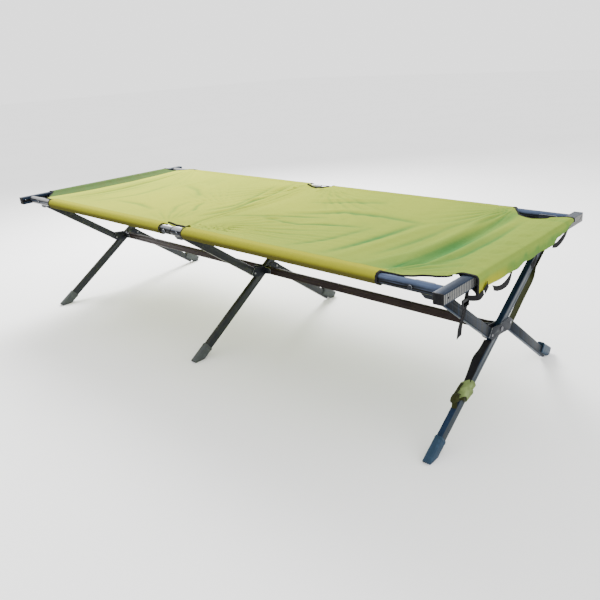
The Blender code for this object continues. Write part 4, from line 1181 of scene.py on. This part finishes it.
class COT_OT_right_pocket(bpy.types.Operator):
    """Lay the right pocket over its bar and let it hang in folds outside"""
    bl_idname = "cot.right_pocket"
    bl_label = "Right pocket"

    # Y, and the height of the pocket's lower edge there
    HANG = (
        (-0.240, 0.4020), (-0.222, 0.4000), (-0.190, 0.4075), (-0.128, 0.4050), (-0.063, 0.4030),
        (-0.014, 0.4080), (0.040, 0.4060), (0.071, 0.4095), (0.120, 0.4040), (0.152, 0.4020),
        (0.185, 0.4160), (0.235, 0.4200), (0.262, 0.4270), (0.284, 0.4330),
    )

    def execute(self, context):
        rows = [self.cells(share) for share in steps(184)]
        piece = sew("pocket_cloth_right", rows, CLOTH)
        fit(piece, "bar_right", cloth_material(), "olive_cloth", "pocket_right")
        follow_rails(piece)
        bind_mouths("right", rows, 12)
        return {"FINISHED"}

    def cells(self, share):
        """A row of cells along the outline, each with its tones blended from the outline's."""
        outline = self.outline(share)
        places = [Vector((x, pocket_y(1, x, share), z)) for x, z, _, _ in outline]
        # the last four lie under the bar and are drawn in towards the pocket's middle
        for spot, pull in zip(places[-4:], (0.03, 0.06, 0.12, 0.12)):
            spot.y += pull * (0.5 * (POCKET_NEAR + POCKET_FAR) - spot.y)
        section = spline(places, SPLINE_STEPS)
        cells = []
        for k, (spot, run) in enumerate(zip(section, lengths(section))):
            i = min(k // SPLINE_STEPS, len(outline) - 2)
            part = k / SPLINE_STEPS - i
            tones = [min(start + (stop - start) * part, 2.0)
                     for start, stop in zip(outline[i][2:], outline[i + 1][2:])]
            cells.append((spot, (section[0].x + run, spot.y), *tones))
        return cells

    def outline(self, share):
        """From the bed, over the bar, down the flap to its hem, and back under the bar.

        Each point is its X, its height, and its tones of painted fold shade and sleeve.
        """
        inner = BAR_LOW.x
        top, low = BAR_HIGH.z + 0.0011, BAR_LOW.z - 0.0010
        y = pocket_y(1, inner, share)
        ruck = 0.0013 * math.sin(y * 71 + 1.7 * math.sin(y * 19)) + 0.0003 * math.sin(y * 201 + 0.4)
        bottom = between(self.HANG, y)
        outer = BAR_HIGH.x + 0.0045 + 0.0025 * smooth((0.16 - y) / 0.1) + 0.0020 * smooth((-0.19 - y) / 0.05)
        outline = []
        for x in (SEAM, SEAM + 0.006, SEAM + 0.012, SEAM + 0.020, SEAM + 0.028, inner - 0.003):
            height, green_shade = bed_height(x, pocket_y(1, x, share))
            outline.append((x, height + (0.0011 if x > SEAM + 0.01 else -0.0003), green_shade, 0.0))
        crest = bed_height(inner, y)[1]
        outline.append((BAR_X - 0.003, top + 0.0004 + 0.4 * abs(bar_folds(y)), crest, 0.0))
        roll = min(0.0095, 0.6 * (top - bottom))
        # painted shade and ochre, a little, on the roll's outer side
        for turn in (80, 50, 22, 0):
            c, s = math.cos(math.radians(turn)), math.sin(math.radians(turn))
            x, height = outer - roll + roll * c, top + 0.0004 - roll + roll * s
            outline.append((x, height, crest + 0.10 * c, 0.10 * c))
        start = top - roll
        for part in (0.3, 0.6, 0.85, 1.0):
            # painted shade down the flap, more in its rucks; the ochre towards the hem, strongest at the near end,
            # is painted shade where the flap turns under
            shade = min(crest + (0.45 + 0.35 * smooth(-ruck / 0.0014)) * smooth(part / 0.6), 0.95)
            ochre = (0.85 - 0.55 * smooth((y + 0.19) / 0.14)) * smooth((part + 0.2) / 0.8)
            outline.append((outer + part * ruck, start + (bottom + 0.001 - start) * part, shade, ochre))
        under = min(low - 0.0015, bottom + 0.010)
        bed = bed_height(SEAM, pocket_y(1, SEAM, share))[0]
        # painted shade: the hem and the cloth back under the bar take full fold shade and the underside's painted
        # shade
        return outline + [
            (outer + ruck - 0.0018, bottom, 1.0, 1.6), (outer + ruck - 0.0032, bottom + 0.004, 1.0, 1.6),
            (outer - 0.0075, 0.5 * (bottom + under) + 0.003, 0.8, 2.0), (BAR_X, under, 0.8, 2.0),
            (inner - 0.002, under + 0.003, 0.8, 2.0), (SEAM + 0.020, bed - 0.006, 0.8, 2.0),
            (SEAM + 0.008, bed - 0.0030, 0.8, 2.0),
        ]


class COT_OT_bar_caps(bpy.types.Operator):
    """Mould a ribbed cap for each end of the two bars"""
    bl_idname = "cot.bar_caps"
    bl_label = "Bar caps"

    def execute(self, context):
        material = moulded_finish("ribbed_plastic", (0.006, 0.006, 0.007), 0.48, 650.0)
        for side, way in SIDES.items():
            for end, along in ENDS.items():
                name = f"bar_cap_{side}_{end}"
                fit(self.cap(name, along * BAR_X, way), "bar_" + end, material, "cap_plastic", name)
        return {"FINISHED"}

    @staticmethod
    def cap(name, x, way):
        """A plate with a rim and upright ribs on its face, and a plug that goes into the bar."""
        low, high = box(name)
        size = high.x - low.x
        half = size / 2
        face = high.y if way > 0 else low.y
        thick, rim, rib_height, ribs = 0.0026, 0.0022, 0.0008, 7
        wall, plug = 0.0028, 0.009
        inside = half - 0.0023
        piece = block((x, face - way * thick / 2 - way * rib_height, RAIL.z), (size, thick, size))
        open_mesh(piece)
        pick(piece, lambda spot, normal: normal.y * way > 0.9)
        bpy.ops.mesh.inset(thickness=rim, depth=0.0)
        for i in range(1, 2 * ribs):
            cut = x - half + rim + (size - 2 * rim) * i / (2 * ribs)
            pick(piece, lambda spot, normal: normal.y * way > 0.9 and abs(spot.x - x) < inside
                 and abs(spot.z - RAIL.z) < inside)
            bpy.ops.mesh.bisect(plane_co=(cut, 0.0, 0.0), plane_no=(1.0, 0.0, 0.0))
        pitch = (size - 2 * rim) / ribs

        def rib(spot, normal):
            even = int((spot.x - x + half - rim) / (pitch / 2)) % 2 == 0
            return even and normal.y * way > 0.9 and abs(spot.x - x) < inside

        pick(piece, rib)
        bpy.ops.mesh.extrude_region_move(TRANSFORM_OT_translate={"value": (0.0, way * rib_height, 0.0)})
        pick(piece, lambda spot, normal: normal.y * way < -0.9)
        bpy.ops.mesh.inset(thickness=wall, depth=0.0)
        bpy.ops.mesh.extrude_region_move(TRANSFORM_OT_translate={"value": (0.0, -way * plug, 0.0)})
        close_mesh()
        break_edges(piece, 0.0004, 40)
        return settle(piece, name + "_ribbed")


class COT_OT_boots(bpy.types.Operator):
    """Mould a ribbed rubber boot on every foot"""
    bl_idname = "cot.boots"
    bl_label = "Boots"

    def execute(self, context):
        grey = moulded_finish("grey_rubber", (0.050, 0.057, 0.056), 0.50, 480.0)
        blue = moulded_finish("blue_rubber", (0.016, 0.034, 0.058), 0.42, 480.0)
        for side, leg, tube in (("near", "leg_a_", "leg_a_"), ("far", "leg_b_", "leg_b_lower_")):
            for name in SETS:
                node = f"boot_{side}_{name}"
                piece = self.boot(node, middle(tube + name), LEAN[side], SIDES[side])
                fit(piece, leg + name, blue if name == "right" else grey, "boot_rubber", node)
        return {"FINISHED"}

    @staticmethod
    def boot(node, tube, lean, way):
        """A square shoe along the leg: a bead at its mouth, a blunt toe, a level sole with strips."""
        down = Vector((0.0, way * math.sin(lean), -math.cos(lean)))
        reaches = [(vertex.co - tube).dot(down) for vertex in frame["nodes"][node].data.vertices]
        mouth, toe = tube + down * min(reaches), tube + down * max(reaches)
        low, high = box(node)
        thick, corner = 0.0306, 0.0048
        size = (high.x - low.x, thick, (toe - mouth).length)
        piece = block((mouth + toe) / 2, size, (way * lean, 0.0, 0.0))
        open_mesh(piece, "EDGE")
        pick(piece, lambda spot, run: abs(run.dot(down)) > 0.9, "EDGE")
        bpy.ops.mesh.bevel(offset=corner, segments=5, affect="EDGES")
        bpy.ops.mesh.select_all(action="SELECT")
        bpy.ops.mesh.bisect(plane_co=(0.0, 0.0, 0.0), plane_no=(0.0, 0.0, -1.0), clear_outer=True,
                            use_fill=True)
        pick(piece, lambda spot, normal: normal.dot(down) < -0.9)
        bpy.ops.mesh.inset(thickness=0.0014, depth=0.0)
        bpy.ops.mesh.inset(thickness=0.0001, depth=-0.003)
        for reach in (0.0035, 0.0065, 0.0085):
            bpy.ops.mesh.select_all(action="SELECT")
            bpy.ops.mesh.bisect(plane_co=mouth + down * reach, plane_no=down)
        middle_of_bead = mouth + down * 0.005
        margin, strips = 0.0012, 7
        width = high.x - low.x - 2 * margin

        def bead(spot, normal):
            return abs((spot - middle_of_bead).dot(down)) < 0.0014 and abs(normal.dot(down)) < 0.3

        def tread(spot, normal):
            return normal.z < -0.95 or normal.dot(down) > 0.95

        def strip(spot, normal):
            return tread(spot, normal) and int((spot.x - low.x - margin) / width * strips + 1) % 2 == 0

        pick(piece, bead)
        bpy.ops.mesh.extrude_region_shrink_fatten(TRANSFORM_OT_shrink_fatten={"value": 0.0007})
        for i in range(strips + 1):
            pick(piece, tread)
            cut = low.x + margin + width * i / strips
            bpy.ops.mesh.bisect(plane_co=(cut, 0.0, 0.0), plane_no=(1.0, 0.0, 0.0))
        pick(piece, strip)
        bpy.ops.mesh.inset(thickness=0.0002, depth=-0.0022)
        close_mesh()
        break_edges(piece, 0.0004, 45)
        return settle(piece, node + "_moulded")


def down_a(reach, offset, x=0.0):
    """A point beside right leg A: down it from the crossing, off it to its upper side, along X."""
    lean = LEAN["near"]
    return Vector((LEG_X + x, -reach * math.sin(lean) - offset * math.cos(lean),
                   CROSSING_Z - reach * math.cos(lean) + offset * math.sin(lean)))


class COT_OT_storage_strap(bpy.types.Operator):
    """Wind the storage strap on the right leg: tucked in above, loose and knotted below"""
    bl_idname = "cot.storage_strap"
    bl_label = "Storage strap"

    def execute(self, context):
        width = settings("strap").width
        # the lighter strap material is painted light on the lit turns, the olive one painted shade on the rest
        olive, lit_strap = tape_material("olive_tape"), tape_material("faded_tape")
        self.hang(self.tucked(width), olive, "strap_band")
        fit(self.loose(width), "leg_a_right", tape_material("black_tape"), "black_webbing")
        # reach down the leg, slant, turns, where it starts, width, looser by
        self.hang(self.wind("strap_turn_under", 0.205, 0.008, 1.1, 2.4, 1.9 * width, -0.0006), olive)
        self.hang(self.wind("strap_turn_upper", 0.184, 0.011, 1.15, 1.9, 1.20 * width, 0.0), lit_strap,
                  "strap_wrap")
        self.hang(self.wind("strap_turn_lower", 0.207, 0.015, 1.15, 1.5, 1.25 * width, 0.0016), lit_strap)
        self.hang(self.loop("strap_loop_1", 0.180, 0.206, -0.0090, 0.0225), olive)
        self.hang(self.loop("strap_loop_2", 0.198, 0.226, -0.0095, 0.0250), olive)
        for piece in (self.knot(), self.hitch(), self.tail()):
            self.hang(piece, olive)
        return {"FINISHED"}

    @staticmethod
    def hang(piece, material, *nodes):
        fit(piece, "leg_a_right", material, "olive_webbing", *nodes)

    @staticmethod
    def tucked(width):
        """The upper length: flat under the leg, then turned on edge where it hangs away from it."""
        path, ways = [], []
        for t in steps(60):
            reach = -0.312 + 0.272 * t
            edge = smooth((t - 0.34) / 0.16)
            drop = -0.0146 - edge * (0.0140 - 0.002 * math.sin(5.5 * t))
            path.append(down_a(reach, drop, 0.0065 * edge + 0.0010 * math.sin(7 * t)))
            out = down_a(reach, drop - 1.0) - down_a(reach, drop)
            ways.append(out * edge + Vector((1.0 - 0.8 * edge, 0.0, 0.0)))
        return ribbon("strap_tucked", path, lambda i: ways[i], width * 0.92, 0.0018, 8, 0.0010)

    @staticmethod
    def loose(width):
        """The lower length, lifting off the leg before it goes into the wrap."""
        path, ways = [], []
        for t in steps(40):
            reach = 0.050 + 0.126 * t
            bow = 0.0125 * math.sin(math.pi * t ** 0.9) ** 1.6
            lift = 0.0142 - 0.0018 * t + bow + 0.0010 * math.sin(5 * math.pi * t)
            path.append(down_a(reach, lift, -0.001 + 0.002 * math.sin(3 * t)))
            out = down_a(reach, lift + 1.0) - down_a(reach, lift)
            ways.append(Vector((1.0, 0.0, 0.0)) + 0.25 * math.sin(2.6 * math.pi * t) * out)
        return ribbon("strap_loose", path, lambda i: ways[i], 0.8 * width, 0.0018, 8, -0.0012)

    @staticmethod
    def wind(name, reach, slant, turns, start, width, looser):
        """A slanted turn round the leg, higher on its +X side, slightly looser as it goes."""
        half_x, half_out = 0.0080 + 0.0016, 0.0130 + 0.0018
        path, ways = [], []
        for t in steps(round(64 * turns)):
            turn = math.tau * turns * t + start
            c, s = math.cos(turn), math.sin(turn)
            square = 1 / max(abs(c) ** 6 + abs(s) ** 6, 1e-9) ** (1 / 6)
            grow = looser + 0.0018 * t + 0.0005 * math.sin(9 * t)
            lift = (half_out + grow) * s * square
            way_down = reach - slant * c + 0.004 * t
            path.append(down_a(way_down, lift, (half_x + grow) * c * square))
            along = down_a(way_down + 1.0, lift) - down_a(way_down, lift)
            ways.append(along + Vector((0.3 * s, 0.0, 0.0)))
        return ribbon(name, path, lambda i: ways[i], width * 0.86, 0.0016, 6)

    @staticmethod
    def loop(name, start, stop, x, lift):
        """A narrow darker loop that stands off the wrap's upper side."""
        path = []
        for t in steps(16):
            height = 0.0145 + (lift - 0.0145) * math.sin(math.pi * t)
            path.append(down_a(start + (stop - start) * t, height, x + 0.003 * math.sin(4 * t)))
        return ribbon(name, path, lambda i: (1.0, 0.25 * math.sin(0.4 * i), 0.2), 0.0075, 0.0017, 4, 0.0008)

    @staticmethod
    def knot():
        """The lumpy core of a hitch on the leg's upper side."""
        bpy.ops.mesh.primitive_uv_sphere_add(segments=40, ring_count=24, radius=1.0, location=(0.0, 0.0, 0.0))
        piece = bpy.context.object
        piece.scale = (0.0105, 0.0085, 0.0130)
        set_place()
        for vertex in piece.data.vertices:
            spot = vertex.co
            groove = 0.0010 * math.sin(spot.z * 480 + spot.x * 260) + 0.0004 * math.sin(spot.x * 620)
            spot += spot.normalized() * (groove + 0.0012 * noise.noise(spot * 160))
        piece.rotation_euler = (-LEAN["near"] + 0.35, 0.0, 0.0)
        piece.location = down_a(0.228, 0.0205, -0.003)
        settle(piece, "strap_knot", SOFT_ANGLE)
        layer = piece.data.uv_layers.new(name="cloth")
        for loop in piece.data.loops:
            spot = piece.data.vertices[loop.vertex_index].co
            layer.data[loop.index].uv = (spot.z + spot.x, spot.y)
        return piece

    @staticmethod
    def hitch():
        """The loop of the hitch, over its core."""
        path = []
        for t in steps(24):
            turn = math.pi * (t * 1.5 - 0.2)
            path.append(down_a(0.226 + 0.0125 * math.cos(turn), 0.0200 + 0.0125 * math.sin(turn),
                               -0.006 + 0.006 * t))
        return ribbon("strap_knot_loop", path, lambda i: (1.0, 0.2, 0.1), 0.012, 0.0016, 6, 0.001)

    @staticmethod
    def tail():
        """A short tail below the knot."""
        path = [down_a(0.232 + 0.018 * t, 0.0200 + 0.001 * math.sin(2.4 * t) - 0.004 * t, 0.006 * t - 0.002)
                for t in steps(12)]
        return ribbon("strap_tail_right", path, lambda i: (1.0, 0.3, 0.1), 0.013, 0.0016, 6, 0.001)


class COT_OT_webbing(bpy.types.Operator):
    """Hang the black tapes and their buckle from the right bar"""
    bl_idname = "cot.webbing"
    bl_label = "Black tapes"

    # points along each tape that hangs below the pocket
    TAPES = {
        "tape_under_pocket": ((0.9515, -0.070, 0.4040), (0.9535, -0.079, 0.3930), (0.9540, -0.094, 0.3835),
                              (0.9545, -0.118, 0.3800), (0.9540, -0.142, 0.3830), (0.9525, -0.160, 0.3900)),
        "tape_by_leg": ((0.9500, 0.062, 0.4060), (0.9530, 0.058, 0.3960), (0.9535, 0.046, 0.3860),
                        (0.9520, 0.034, 0.3800)),
        "tape_far": ((0.9490, 0.262, 0.4250), (0.9515, 0.240, 0.4110), (0.9530, 0.210, 0.4020),
                     (0.9525, 0.182, 0.3960), (0.9505, 0.160, 0.3990)),
        "tape_loop": ((0.9460, -0.2600, 0.4000), (0.9520, -0.2480, 0.3965), (0.9570, -0.2360, 0.3950),
                      (0.9590, -0.2260, 0.3975), (0.9600, -0.2180, 0.4020)),
        "tape_tack": ((0.9605, -0.2150, 0.4030), (0.9612, -0.2080, 0.4085), (0.9608, -0.2020, 0.4150)),
    }

    def execute(self, context):
        material = tape_material("black_tape")
        low, high = box("webbing_strap")
        x = (low.x + high.x) / 2
        line = spline([(x - 0.001, -0.2385, high.z), (x, -0.2490, 0.4035), (x + 0.0012, -0.2555, 0.3890),
                       (x + 0.0025, -0.2620, 0.3720), (x + 0.0015, -0.2690, 0.3560),
                       (x + 0.002, -0.2790, 0.3380), (x + 0.004, -0.2865, low.z + 0.0006)], 7)
        tail = ribbon("tape_tail", line, lambda i: (0.0006 * i, 1.0, 0.25), 0.0170, 0.0014, 6, 0.0006)
        fit(tail, "bar_right", material, "black_webbing", "webbing_strap")
        for name, points in self.TAPES.items():
            piece = ribbon(name, spline(points, 7), lambda i: (0.12 * math.sin(0.3 * i), -0.35, 1.0), 0.0150,
                           0.0013, 4, 0.0008)
            fit(piece, "bar_right", material, "black_webbing")
            follow_rails(piece)
        plastic = moulded_finish("buckle_plastic", (0.012, 0.012, 0.013), 0.42, 900.0)
        fit(self.buckle(), "bar_right", plastic, "cap_plastic", "webbing_buckle")
        return {"FINISHED"}

    @staticmethod
    def buckle():
        """A three-bar slide: a frame with two windows, and a bar between them."""
        low, high = box("webbing_buckle")
        centre, size = (low + high) / 2, high - low
        piece = block(centre, (0.0034, size.y, size.z))
        open_mesh(piece)
        bpy.ops.mesh.bisect(plane_co=centre, plane_no=(0.0, 0.0, 1.0))
        pick(piece, lambda spot, normal: abs(normal.x) > 0.9)
        bpy.ops.mesh.inset(thickness=0.0026, depth=0.0, use_individual=True)
        bpy.ops.mesh.bridge_edge_loops()
        close_mesh()
        break_edges(piece, 0.0007, 40, 3)
        return settle(piece, "buckle_slide")


class COT_OT_rivets(bpy.types.Operator):
    """Set domed rivets through the joint brackets where the legs plug in"""
    bl_idname = "cot.rivets"
    bl_label = "Rivets"

    def execute(self, context):
        steel = steel_finish("small_rivet_steel", (0.16, 0.16, 0.17))
        lean = LEAN["far"]
        for name in SETS:
            low, high = box("joint_bracket_" + name)
            for row, way in (("lower", -1), ("upper", 1)):
                reach, across = way * 0.041, way * 0.027
                y = -reach * math.sin(lean) - across * math.cos(lean)
                z = CROSSING_Z + reach * math.cos(lean) - across * math.sin(lean)
                for face, x, out in (("left", low.x, -1), ("right", high.x, 1)):
                    piece = self.rivet(f"rivet_{name}_{row}_{face}", (x + out * 0.0004, y, z), out)
                    fit(piece, "leg_b_" + name, steel, "rivet_steel")
        return {"FINISHED"}

    @staticmethod
    def rivet(name, spot, out):
        piece = round_bar(spot, 0.0034, 0.0012, 24, "NGON")
        open_mesh(piece)
        pick(piece, lambda where, normal: normal.x * out > 0.9)
        bpy.ops.mesh.inset(thickness=0.0009, depth=0.0005)
        bpy.ops.mesh.inset(thickness=0.0009, depth=0.0003)
        close_mesh()
        return settle(piece, name, SOFT_ANGLE)


class COT_OT_stage(bpy.types.Operator):
    """Lay the pale floor and set the lights and the camera"""
    bl_idname = "cot.stage"
    bl_label = "Stage"

    def execute(self, context):
        values = settings("stage")
        self.floor()
        self.light("key", (-1.6, 1.2, 1.95), (-0.2, 0.0, 0.44), 1.2, values.key)
        self.light("right_side", (3.2, -0.4, 1.1), (0.7, 0.0, 0.25), 1.6, values.fill)
        self.surroundings(values.world)
        self.camera(values.lens)
        return {"FINISHED"}

    @staticmethod
    def floor():
        bpy.ops.mesh.primitive_plane_add(size=40.0, location=(0.0, 0.0, -0.0004))
        floor = bpy.context.object
        floor.name = "floor"
        pale = Finish("pale_floor", Specular_IOR_Level=0.1, Roughness=0.9)
        cloud = pale.noise(pale.place(), 1.5, 2.0)
        pale.paint(pale.mix(cloud.span(0.3, 0.7), (0.93, 0.93, 0.93), (0.95, 0.95, 0.95)))
        floor.data.materials.append(pale.material)

    @staticmethod
    def surroundings(strength):
        world = bpy.data.worlds.new("studio")
        world.use_nodes = True
        background = world.node_tree.nodes["Background"]
        background.inputs["Color"].default_value = (1.0, 1.0, 1.0, 1.0)
        background.inputs["Strength"].default_value = strength
        bpy.context.scene.world = world

    @staticmethod
    def light(name, spot, target, size, power):
        """A square lamp that faces its target."""
        lamp = bpy.data.lights.new(name, "AREA")
        lamp.shape = "SQUARE"
        lamp.size = size
        lamp.energy = power
        piece = bpy.data.objects.new(name, lamp)
        piece.visible_camera = False
        piece.location = spot
        piece.rotation_euler = (Vector(target) - Vector(spot)).to_track_quat("-Z", "Y").to_euler()
        bpy.context.scene.collection.objects.link(piece)

    @staticmethod
    def camera(lens):
        """The photograph's camera, fitted to the rails, hinges and feet."""
        azimuth, elevation, roll = (math.radians(value) for value in (40.417, 22.174, -3.276))
        look = Vector((-math.sin(azimuth) * math.cos(elevation), math.cos(azimuth) * math.cos(elevation),
                       -math.sin(elevation)))
        right = Vector((math.cos(azimuth), math.sin(azimuth), 0.0))
        up = right.cross(look)
        turned_right = math.cos(roll) * right + math.sin(roll) * up
        turned_up = -math.sin(roll) * right + math.cos(roll) * up
        data = bpy.data.cameras.new("camera")
        data.lens = lens
        data.sensor_width = 36.0
        data.sensor_fit = "HORIZONTAL"
        data.shift_x = -0.1073
        data.clip_end = 100.0
        piece = bpy.data.objects.new("camera", data)
        axes = Matrix((turned_right, turned_up, -look)).transposed().to_4x4()
        piece.matrix_world = Matrix.Translation((1.532, -1.278, 0.879)) @ axes
        bpy.context.scene.collection.objects.link(piece)
        bpy.context.scene.camera = piece


OPERATORS = (COT_OT_stage, COT_OT_frame, COT_OT_rivets, COT_OT_boots, COT_OT_bar_caps, COT_OT_sleeves,
             COT_OT_bed, COT_OT_edging, COT_OT_left_pocket, COT_OT_right_pocket, COT_OT_storage_strap,
             COT_OT_webbing)
GROUPS = {"cloth": ClothSettings, "frame": FrameSettings, "strap": StrapSettings, "stage": StageSettings}


class COT_PT_panel(bpy.types.Panel):
    """The cot's settings and the steps that dress it"""
    bl_idname = "COT_PT_panel"
    bl_label = "Camping cot"
    bl_space_type = "VIEW_3D"
    bl_region_type = "UI"
    bl_category = "Cot"

    def draw(self, context):
        for name, group in GROUPS.items():
            column = self.layout.column(align=True)
            for value in group.__annotations__:
                column.prop(settings(name), value)
        for step in OPERATORS:
            self.layout.operator(step.bl_idname)


def register():
    for group in GROUPS.values():
        bpy.utils.register_class(group)
    for name, group in GROUPS.items():
        setattr(bpy.types.Scene, "cot_" + name, PointerProperty(type=group))
    for item in (*OPERATORS, COT_PT_panel):
        bpy.utils.register_class(item)


def unregister():
    for item in (COT_PT_panel, *reversed(OPERATORS)):
        bpy.utils.unregister_class(item)
    for name, group in GROUPS.items():
        delattr(bpy.types.Scene, "cot_" + name)
        bpy.utils.unregister_class(group)


def main():
    register()
    for step in OPERATORS:
        deselect()
        group, name = step.bl_idname.split(".")
        getattr(getattr(bpy.ops, group), name)()


if __name__ == "__main__":
    main()
